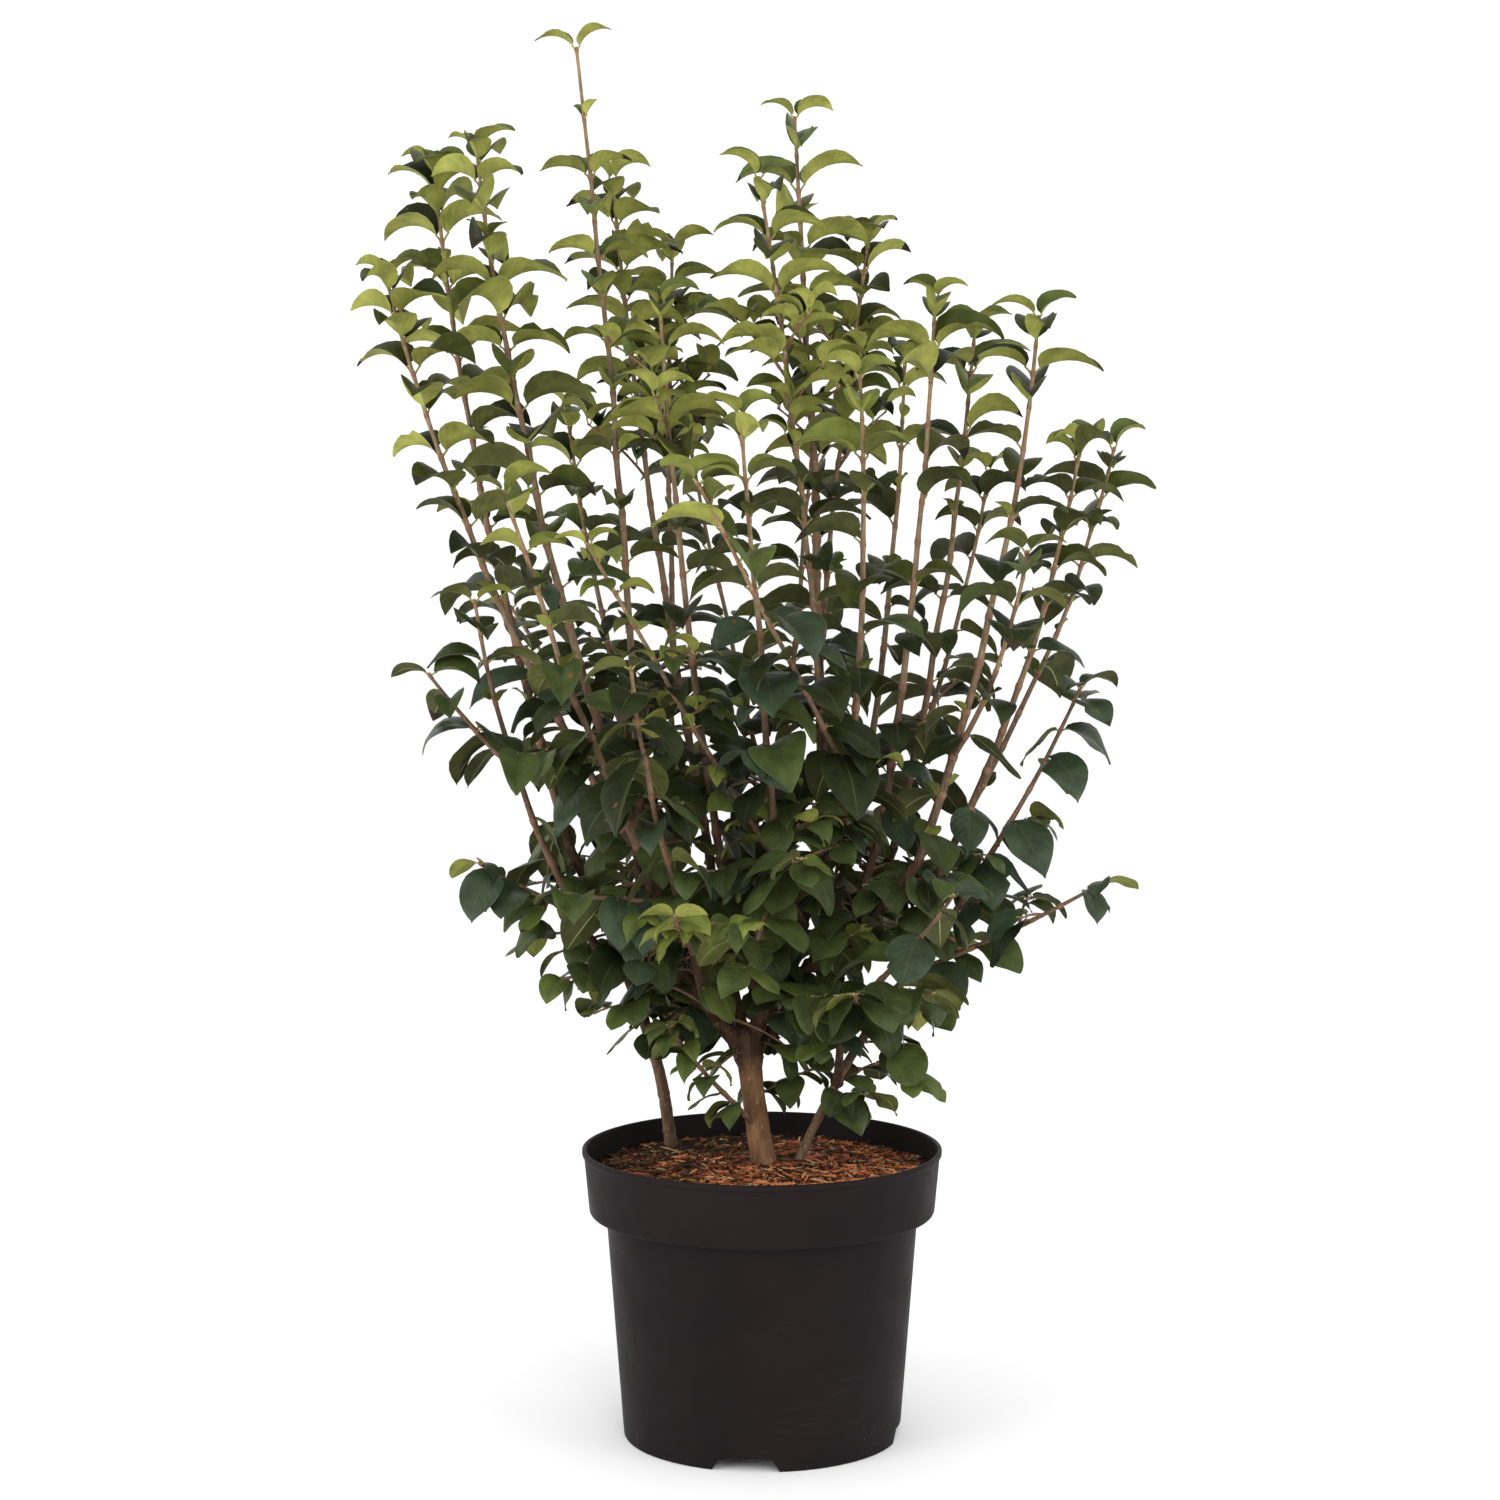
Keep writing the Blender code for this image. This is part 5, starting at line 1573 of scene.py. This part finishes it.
class Spray:
    """The leaves of one cane or twig: where its pairs stand, and how each leaf is drawn."""

    def __init__(self, cane, seed):
        self.cane = cane
        self.rule = random.Random(seed)
        self.distances = self.pair_distances()
        spread = (0, math.tau) if cane.is_twig else (-TURN_SPREAD, TURN_SPREAD)
        self.turn = self.rule.uniform(*spread)
        self.low_tone, self.other_tone, self.shaded_tone = self.upper_tones()

    def pair_distances(self):
        """How far along the cane its pairs stand, from its foot to the pair that ends it."""
        cane, whole = self.cane, self.cane.line.whole
        closeness = TWIG_CLOSENESS if cane.is_twig else 1
        if cane.mass == "foot":
            closeness = FOOT_CLOSENESS
        open_shares = OPEN_MASSES.get(cane.mass, (1, 1))
        crowding = 0 if cane.mass in OPEN_MASSES else TIP_CROWDING
        distances = []
        distance = FIRST_PAIR * (0.6 if cane.is_twig else 1)
        while distance < whole - LAST_GAP:
            distances.append(distance)
            near_tip = math.exp(-((whole - distance) / CROWDED_LENGTH))
            height = cane.line.place(distance)[0].z
            spacing = between(LOW_SPACING, HIGH_SPACING, eased(*SPACING_TURNS, height)) * closeness
            spacing *= between(*open_shares, eased(*OPENING, height))
            if cane.mass in CLOSE_MASSES and height > CLOSE_FROM and whole - distance > CROWDED_LENGTH:
                spacing *= CLOSE_SHARE
            distance += spacing * self.rule.uniform(*SPACING_RANGE) * (1 - crowding * near_tip)
        return distances + [whole - TIP_PAIR]

    def upper_tones(self):
        """Two tones for the upper sides of the low leaves and one for the high ones."""
        choice = self.rule.choice
        if self.cane.fresh and self.cane.mass == "foot":
            return "leaf_light", "leaf_middle", "leaf_light"
        if self.cane.fresh:
            return "leaf_fresh", "leaf_light", "leaf_fresh"
        low = choice(("leaf_dark", "leaf_dark", "leaf_middle", "leaf_blue", "leaf_blue", "leaf_blue"))
        # Painted light: sprays that end low, at the lit foot, get lighter tones
        if self.cane.line.points[-1].z < LIT_FOOT_UNTIL:
            low = choice(("leaf_light", "leaf_middle", "leaf_middle", "leaf_blue"))
        high = choice(("leaf_warm_dark", "leaf_warm_dark", "leaf_warm", "leaf_warm", "leaf_light"))
        return low, choice((low, "leaf_dark", "leaf_middle")), high

    def spot_at(self, distance):
        cane = self.cane
        point, direction = cane.line.place(distance)
        from_tip = cane.line.whole - distance
        radius = between(cane.foot_radius, cane.tip_radius, distance / cane.line.whole)
        high = eased(LOW_UNTIL, HIGH_FROM, point.z)
        return Spot(point, direction, radius, from_tip, high, math.exp(-from_tip / YOUNG_REACH))

    def leaf_length(self, spot):
        cane, rule, height = self.cane, self.rule, spot.point.z
        full = between(LOW_LEAF, HIGH_LEAF * HIGH_SCALES.get(cane.mass, 1), spot.high)
        if cane.fresh:
            full *= FRESH_LEAF
        elif cane.is_twig:
            full *= rule.choice(TWIG_LEAVES)
        elif rule.random() < BIG_SHARE * eased(*BIG_FROM, height) * eased(*BIG_UNTIL, height):
            full *= BIG_LEAF
        length = between(full, TIP_LEAF, spot.young) * rule.uniform(*LENGTH_RANGE)
        if MIXED_RANGE[0] < height < MIXED_RANGE[1]:
            length *= rule.uniform(*MIXED_LENGTHS)
        return length * between(FOOT_LENGTH, 1.0, eased(*FOOT_HEIGHTS, height))

    def leaf_tones(self, spot):
        """The tones of a leaf's upper side and under side."""
        cane, rule, height = self.cane, self.rule, spot.point.z
        if spot.young > YOUNG_FROM and spot.high > 0.5:
            top = rule.choice(("leaf_light", "leaf_warm", "leaf_light"))
        elif spot.young > YOUNG_FROM:
            top = rule.choice(("leaf_light", "leaf_middle", self.low_tone, self.low_tone))
        else:
            top = self.shaded_tone
            if spot.high <= 0.75:
                plain = "leaf_middle" if height < 0.49 else "leaf_dark"
                top = rule.choice((self.low_tone, self.low_tone, self.other_tone, plain, "leaf_middle"))
            # Painted shade: leaves in the plant's shade get the deepest green
            if rule.random() < shaded_share(spot.point):
                top = "leaf_deep"
        # Painted light: the under side takes a lit copy high up and a shaded one low down
        under_light = eased(*UNDER_LIGHT_HEIGHTS, height) + rule.uniform(*BRIGHT_STRAY) + BRIGHT_YOUNG * spot.young
        under = UNDER_SIDES[min(3, max(0, int(under_light * 4)))]
        if cane.fresh and cane.mass == "foot":
            under = "under_dull"
        # Fresh sprigs take the lit under side high up, as painted light
        elif cane.fresh:
            under = "under_bright" if height > LIT_FRESH_FROM else "under_middle"
        is_fresh_tip = spot.from_tip < FRESH_TIP_LENGTH and height > HIGH_FRESH_FROM and not cane.is_twig
        if cane.mass in FRESH_TIPS and is_fresh_tip:
            top = rule.choice(("leaf_fresh", "leaf_fresh", "leaf_light"))
            under = rule.choice(("under_bright", "under_middle", "under_dull"))
        return TONE_NUMBERS[top], TONE_NUMBERS[under]

    def leaf_at(self, spot, out):
        """A leaf that points out from a place on the cane, and its stalk."""
        rule, high, young = self.rule, spot.high, spot.young
        habit = Habit(*(between(first, last, high) for first, last in zip(LOW_HABIT, HIGH_HABIT)))
        size = self.leaf_length(spot)
        rise = math.radians(habit.rise + rule.uniform(-habit.loose, habit.loose) + YOUNG_RISE * young)
        stray = rule.uniform(-habit.loose, habit.loose) * 0.8
        droop = max(math.radians(habit.droop + stray - YOUNG_DROOP * young), LEAST_BEND - rise)
        fold = math.radians(habit.fold + rule.uniform(-FOLD_LOOSE, FOLD_LOOSE))
        half_stalk = size * STALK_SHARE * rule.uniform(*STALK_RANGE) * 0.5
        # The stalk leaves the cane steeply and turns into the leaf's own direction
        steep = math.radians(habit.steep)
        foot = spot.point + out * spot.radius * 0.55
        knee = foot + half_stalk * (out * math.cos(steep) + UP * math.sin(steep))
        base = knee + half_stalk * (out * math.cos(rise) + UP * math.sin(rise))
        top, under = self.leaf_tones(spot)
        drawn = eased(ROUND_UNTIL, DRAWN_FROM, spot.point.z)
        point = between(rule.uniform(*ROUND_POINT), rule.uniform(*DRAWN_POINT), drawn)
        width = between(ROUND_WIDTH, DRAWN_WIDTH, drawn)
        if self.cane.fresh:
            point, width = FRESH_POINT, FRESH_WIDTH
            rise += math.radians(between(FRESH_RISE, 0, high))
        is_bitten = rule.random() < BITTEN_SHARE
        bite = rule.choice((-1, 1)) * rule.uniform(*BITE_DEPTH) if is_bitten else 0.0
        dry = rule.choice((2, 3)) if rule.random() < habit.dry else 0
        width = between(width, HIGH_WIDTH - YOUNG_NARROWING * young, high) * rule.uniform(*WIDTH_RANGE)
        leaf = Leaf(
            base=tuple(base), out=tuple(out), size=size, half_width=width,
            point=between(point, HIGH_POINT, high),
            rise=rise, droop=droop, fold=fold, curl=math.radians(habit.curl),
            lobe=habit.lobe, wave=rule.uniform(LEAST_WAVE, habit.wave), phase=rule.uniform(0, 6.3),
            roll=math.radians(rule.uniform(-1, 1) * habit.roll),
            twist=math.radians(rule.uniform(-1, 1) * habit.twist),
            top=top, under=under, dry=dry, bite=bite,
        )
        thick = habit.thick * (TWIG_STALK if self.cane.is_twig else 1)
        return leaf, Stalk(foot, knee, base, thick, spot.point.z, young)


class Plant:
    """Grows canes, twigs and leaves on from the limbs, each clear of everything before it."""

    def __init__(self, wood):
        self.wood = wood
        self.room = Room()
        self.canes = []
        self.leaves = []
        self.stalks = []
        self.test_faces = grid_faces(len(TEST_ROWS), len(TEST_COLUMNS))
        for name, line in wood.lines.items():
            self.room.note(*coarse_tube(line, wood.radii[name][0]))
        self.room.note(*coarse_pot())
        self.index = {mass.name: index for index, mass in enumerate(MASSES)}
        self.rules = {name: random.Random(SEED + index) for name, index in self.index.items()}
        for mass in MASSES:
            self.lay_shoots(mass)
        self.map_spaces()
        for cane in list(self.canes):
            self.add_twigs(cane)
        for name in wood.lines:
            self.add_bough_twigs(name)
        for cane in self.canes:
            self.add_pairs(cane)

    def add_cane(self, mass, line, foot_radius, tip_radius, is_twig, fresh):
        self.room.note(*coarse_tube(line, foot_radius))
        cane = Cane(mass, line, foot_radius, tip_radius, self.room.last, is_twig, fresh, [])
        self.canes.append(cane)
        return cane

    def lay_shoots(self, mass):
        """The main shoots of a mass: the first grows on from its limb, the others fork from it."""
        start = self.wood.start_on(mass.limb, mass.along)
        foot_radius = self.wood.radii[mass.limb][1] if mass.along == 1 else FORK_RADIUS
        first = None
        for number, shoot in enumerate(mass.shoots):
            if number:
                start = first.line.place(max(LOWEST_FORK, shoot.fork * first.line.whole))[0]
                foot_radius = FORK_RADIUS
            middle = (start + Vector(shoot.tip)) / 2
            outward = Vector((middle.x, middle.y, 0)).normalized()
            points = bent_line(start, shoot.tip, outward * shoot.bow, SHOOT_STEP)
            line = Line(wandering(points, SHOOT_WANDER, 50 + self.index[mass.name] + number))
            fresh = (mass.name, number) in FRESH_SPRIGS
            cane = self.add_cane(mass.name, line, foot_radius, CANE_TIP_RADIUS, False, fresh)
            first = first or cane

    def map_spaces(self):
        """A tree of points on every shoot, to tell whose space a point lies in."""
        marks = []
        for cane in self.canes:
            for step in range(int(cane.line.whole / MARK_STEP) + 1):
                marks.append((cane.line.place(step * MARK_STEP)[0], self.index[cane.mass]))
        self.owners = [index for _, index in marks]
        self.space = KDTree(len(marks))
        for number, (point, _) in enumerate(marks):
            self.space.insert(point, number)
        self.space.balance()

    def in_space(self, point, mass):
        if is_past_goblet(point):
            return False
        if by_trunk(point, CLEAR_ASIDE if mass != "foot" else 0.6 * CLEAR_ASIDE) or point.z < LOWEST_LEAF:
            return False
        index = self.index[mass]
        nearest = self.space.find(point)[2]
        own = self.space.find(point, filter=lambda number: self.owners[number] == index)[2]
        return own is not None and own <= min(REACH, nearest + LEAN_OVER)

    def add_twigs(self, cane):
        """Short side twigs on the low stretch of a shoot."""
        rule, line = self.rules[cane.mass], cane.line
        until = line.whole - BARE_TIP
        for foot, direction, turn in spiral_along(line, FIRST_PAIR / 2, until, TWIG_SPACING, rule):
            length = rule.uniform(*TWIG_LENGTH)
            is_leafy = cane.mass in LEAFY_MASSES and foot.z > LEAFY_FROM
            is_wanted = rule.random() < (1 if is_leafy else TWIG_SHARE)
            lift = rule.uniform(*TWIG_LIFT)
            highest = between(TWIGS_UNTIL, FLANK_TWIGS_UNTIL, eased(*FLANK, abs(foot.x)))
            if LEFT_TWIGS[0] < foot.x < LEFT_TWIGS[1]:
                highest = LEFT_TWIGS_UNTIL
            if HIGH_TWIGS[0] < foot.z < HIGH_TWIGS[1] and cane.mass in TWIGGY_MASSES:
                highest = HIGH_TWIGS[1]
                lift += HIGH_TWIG_LIFT
            if foot.z >= highest or not is_wanted or cane.mass == "foot":
                continue
            tip = foot + length * (pair_direction(direction, turn) + UP * lift).normalized()
            is_bare = is_past_goblet(tip, OUTER_FROM) and not is_leafy and rule.random() > OUTER_SHARE
            if not is_bare and self.in_space(tip, cane.mass):
                self.add_twig(cane.mass, foot, tip, UP * TWIG_BOW * length, {cane.number}, cane.fresh)

    def add_bough_twigs(self, name):
        """Short leafy twigs straight from a bough, to hide it as the plant's own low leaves do."""
        rule, line = random.Random(name), self.wood.lines[name]
        lowest = STEM_TWIGS_FROM if name == "stem_right" else BOUGH_TWIGS_FROM
        limbs = set(range(len(self.wood.lines)))
        start = 0.4 * BOUGH_TWIG_SPACING
        for foot, direction, turn in spiral_along(line, start, line.whole, BOUGH_TWIG_SPACING, rule):
            length, lift = rule.uniform(*TWIG_LENGTH), rule.uniform(*BOUGH_TWIG_LIFT)
            if foot.z < lowest:
                continue
            out = faced_outward(pair_direction(direction, turn), foot, rule)
            tip = foot + length * (out + UP * lift).normalized()
            if not is_past_goblet(tip) and tip.z >= LOWEST_TWIG:
                owner = MASSES[self.owners[self.space.find(tip)[1]]].name
                self.add_twig(owner, foot, tip, UP * BOUGH_TWIG_BOW * length, limbs, False)

    def add_twig(self, mass, foot, tip, bow, besides, fresh):
        """One arched twig, where there is room for it beside all but the pieces that it grows from."""
        points = bent_line(foot, tip, bow, SHOOT_STEP)
        line = Line(wandering(points, TWIG_WANDER, 200 + len(self.canes)))
        if self.room.is_free(*coarse_tube(line, TWIG_RADIUS), besides):
            self.add_cane(mass, line, TWIG_RADIUS, TWIG_TIP_RADIUS, True, fresh)

    def add_pairs(self, cane):
        """Pairs of leaves along one cane or twig, from its tip down."""
        spray = Spray(cane, SEED + 1000 * self.index[cane.mass] + cane.number)
        rule = spray.rule
        for number, distance in enumerate(reversed(spray.distances)):
            spot = spray.spot_at(distance)
            turn = spray.turn + number * math.pi / 2 + rule.uniform(-PAIR_JITTER, PAIR_JITTER)
            if not cane.is_twig or rule.random() < TWIG_NODE_SHARE:
                cane.nodes.append(distance)
            may_have_tuft = not cane.is_twig and spot.from_tip > TUFTS_FROM and spot.point.z > LOW_UNTIL
            if may_have_tuft and rule.random() < TUFT_SHARE:
                self.add_tuft(spray, spot, turn + math.pi / 4)
            mates = {cane.number}
            may_miss = spot.from_tip > KEPT_TIP or cane.is_twig
            for half_turn in (0, math.pi):
                if not (may_miss and rule.random() < missing_share(spot.point)):
                    self.add_leaf(spray, spot, turn + half_turn, mates)

    def add_leaf(self, spray, spot, turn, mates):
        """One leaf, where one of a few tries finds room beside all but its mates."""
        cane, rule = spray.cane, spray.rule
        ends_shoot = spot.from_tip < END_LENGTH and not cane.is_twig
        for _ in range(TRIES):
            sway = rule.uniform(-1, 1) * between(*SWAY, spot.high)
            out = faced_outward(pair_direction(spot.direction, turn + sway), spot.point, rule)
            leaf, stalk = spray.leaf_at(spot, out)
            points = blade_points(leaf, TEST_ROWS, TEST_COLUMNS)
            tip = Vector(points[-1, 1])
            is_inside = in_box(tip) if ends_shoot else self.in_space(tip, cane.mass)
            if is_inside and self.place_leaf(cane.mass, leaf, stalk, points, mates):
                mates.add(self.room.last)
                return

    def add_tuft(self, spray, spot, turn):
        """Two small young leaves that stand in the axil of a pair."""
        spot = spot._replace(radius=CANE_TIP_RADIUS, from_tip=0.0, young=1.0)
        for half_turn in (0, math.pi):
            leaf, stalk = spray.leaf_at(spot, pair_direction(spot.direction, turn + half_turn))
            size = leaf.size * spray.rule.uniform(*TUFT_SIZE)
            leaf = leaf._replace(size=size, rise=TUFT_RISE, droop=TUFT_DROOP)
            points = blade_points(leaf, TEST_ROWS, TEST_COLUMNS)
            self.place_leaf(spray.cane.mass, leaf, stalk, points, {spray.cane.number})

    def place_leaf(self, mass, leaf, stalk, points, mates):
        """Keeps a leaf and its stalk where there is room for it beside all but its mates."""
        points = points.reshape(-1, 3)
        is_free = self.room.is_free(points, self.test_faces, mates)
        if is_free:
            self.leaves.append((mass, leaf))
            self.stalks.append(stalk)
            self.room.note(points, self.test_faces)
        return is_free


# The canes, stalks, buds and leaves as pieces


def nearest_node(cane, distance):
    """Where the bark changes: at the pair of leaves that stands nearest to a distance along the cane."""
    return min(cane.nodes, key=lambda node: abs(node - distance), default=distance)


def from_node(cane, distance):
    """How far a place along the cane is from its nearest node."""
    return min((abs(distance - node) for node in cane.nodes), default=1.0)


def ring_places(cane):
    """Where a cane has its rings of points: at even steps, and closely round each node."""
    whole = cane.line.whole
    step = TWIG_STEP if cane.is_twig else CANE_STEP
    ends = {0.0, whole}
    marks = ends | {number * step for number in range(1, int(whole / step) + 1)}
    for node in cane.nodes:
        marks = {mark for mark in marks if abs(mark - node) > NODE_ROOM or mark in ends}
    for node in cane.nodes:
        marks.update(node + offset for offset in NODE_RINGS if 0 < node + offset < whole)
    marks = sorted(marks)
    return marks[:1] + [mark for before, mark in zip(marks, marks[1:]) if mark - before > 0.0003]


def make_canes(plant, materials):
    """The canes and twigs, each swollen and reddish where a pair of leaves stands."""
    plain, young, red, old = range(4)
    bag = MeshBag()
    for cane in plant.canes:
        line = cane.line
        distances = ring_places(cane)
        radii = []
        for distance in distances:
            radius = between(cane.foot_radius, cane.tip_radius, (distance / line.whole) ** 0.85)
            radii.append(radius * (1 + NODE_SWELLING * hump(from_node(cane, distance), 0, NODE_LENGTH)))
        distances, radii = rounded_end(distances, radii, 2)
        sides = TWIG_SIDES if cane.is_twig else CANE_SIDES
        low, high = line.points[0].z, line.points[-1].z
        old_length = line.whole * (OLD_BARK_UNTIL - low) / max(high - low, 0.01)
        old_until = nearest_node(cane, old_length) if high > OLD_BARK_UNTIL else line.whole
        young_from = nearest_node(cane, line.whole - YOUNG_LENGTH)
        slots = []
        for start, end in zip(distances, distances[1:]):
            middle = (start + end) / 2
            slot = young if middle > young_from or cane.is_twig else plain
            if middle < old_until:
                slot = old
            if from_node(cane, middle) < NODE_BAND:
                slot = red
            slots += [slot] * sides
        bag.add(*tube(line, distances, radii, sides), slots + [slots[0], slots[-1]])
    settle(bag.make("canes", materials), [])


def make_stalks(plant, materials):
    """The leaf stalks, from the cane to the foot of each blade, in reddish, dark, fresh and green."""
    green, fresh, dark, red = range(4)
    bag = MeshBag()
    for stalk in plant.stalks:
        line = Line([curve_point(stalk.foot, stalk.knee, stalk.base, t) for t in (0, 0.33, 0.66, 1.0)])
        distances = [line.whole * share for share in STALK_RINGS]
        radii = [stalk.thick * wide for wide in STALK_SHAPE]
        tone = fresh if stalk.young > 0.5 else dark
        if stalk.height > STALK_GREEN_FROM and stalk.young < 0.6:
            tone = green
        bag.add(*tube(line, distances, radii, 5), [red] * 5 + [tone] * 12)
    settle(bag.make("leaf_stalks", materials), [])


def make_buds(plant, material):
    """A small pointed bud over leaf stalks high on the plant, save young ones and a share of the others."""
    rule = random.Random(BUD_SEED)
    bag = MeshBag()
    for stalk in plant.stalks:
        if stalk.height < BUDS_FROM or stalk.young > 0.8 or rule.random() < BUDLESS_SHARE:
            continue
        out = stalk.base - stalk.foot
        out.z = 0
        start = stalk.foot + UP * 0.0012
        tip = start + (out.normalized() * 0.55 + UP).normalized() * rule.uniform(*BUD_LENGTH)
        line = Line([start, start.lerp(tip, 0.4), start.lerp(tip, 0.75), tip])
        distances = [line.whole * share for share in BUD_RINGS]
        bag.add(*tube(line, distances, BUD_RADII, 5))
    settle(bag.make("buds", [material]), [])


def make_leaves(plant, materials):
    template = leaf_template()
    for name, masses in LEAF_PIECES.items():
        bag = MeshBag()
        for mass, leaf in plant.leaves:
            if mass in masses:
                bag.add(*leaf_mesh(leaf, template))
        piece = bag.make(name, materials, math.radians(100))
        settle(piece, ["foliage_" + mass for mass in masses])
        print(name, len(piece.data.polygons), "triangles")


def make_plant():
    wood = Wood()
    make_wood(wood)
    plant = Plant(wood)
    node_red = rough_material("cane_node", NODE_RED, 0.6, 0.3, 700.0, 0.0003)
    make_canes(plant, [
        bark_material("bark_canes", CANE_BARK, 420.0),
        bark_material("bark_young", YOUNG_BARK, 420.0),
        node_red,
        bark_material("bark_old", OLD_BARK, 420.0),
    ])
    make_stalks(plant, [
        Paint("stalk_green", STALK_GREEN, 0.55, 0.35).material,
        Paint("stalk_fresh", STALK_FRESH, 0.55, 0.35).material,
        Paint("stalk_dark", STALK_DARK, 0.55, 0.35).material,
        node_red,
    ])
    make_buds(plant, node_red)
    make_leaves(plant, leaf_materials())
    print(len(plant.leaves), "leaves", len(plant.canes), "canes")


# The stage


def make_stage():
    """A plain pale floor, soft light from both sides and above, and a pale surround."""
    bpy.ops.mesh.primitive_plane_add(size=FLOOR_SIZE, location=(0, 0, 0))
    floor = bpy.context.object
    floor.name = "floor"
    floor.data.materials.append(Paint("floor_pale", FLOOR_COLOUR, 0.9, 0.1).material)
    world = bpy.data.worlds.new("surround")
    bpy.context.scene.world = world
    world.use_nodes = True
    background = world.node_tree.nodes["Background"]
    background.inputs["Color"].default_value = (1.0, 1.0, 1.0, 1)
    background.inputs["Strength"].default_value = SURROUND_STRENGTH
    for name, place, size, power in LIGHTS:
        lamp = bpy.data.lights.new(name, "AREA")
        lamp.size = size
        lamp.energy = power
        item = bpy.data.objects.new(name, lamp)
        item.location = place
        item.rotation_euler = (Vector(LIGHTS_FACE) - Vector(place)).to_track_quat("-Z", "Y").to_euler()
        bpy.context.scene.collection.objects.link(item)


def make_camera():
    camera = bpy.data.cameras.new("camera")
    camera.lens = CAMERA_LENS
    camera.sensor_width = SENSOR
    item = bpy.data.objects.new("camera", camera)
    item.location = CAMERA_PLACE
    item.rotation_euler = (math.pi / 2 - CAMERA_PITCH, 0, 0)
    bpy.context.scene.collection.objects.link(item)
    bpy.context.scene.camera = item


def main():
    bpy.context.scene.view_settings.view_transform = "Standard"
    make_camera()
    make_stage()
    make_pot(plastic_material())
    make_soil(soil_material())
    make_mulch()
    make_plant()


main()
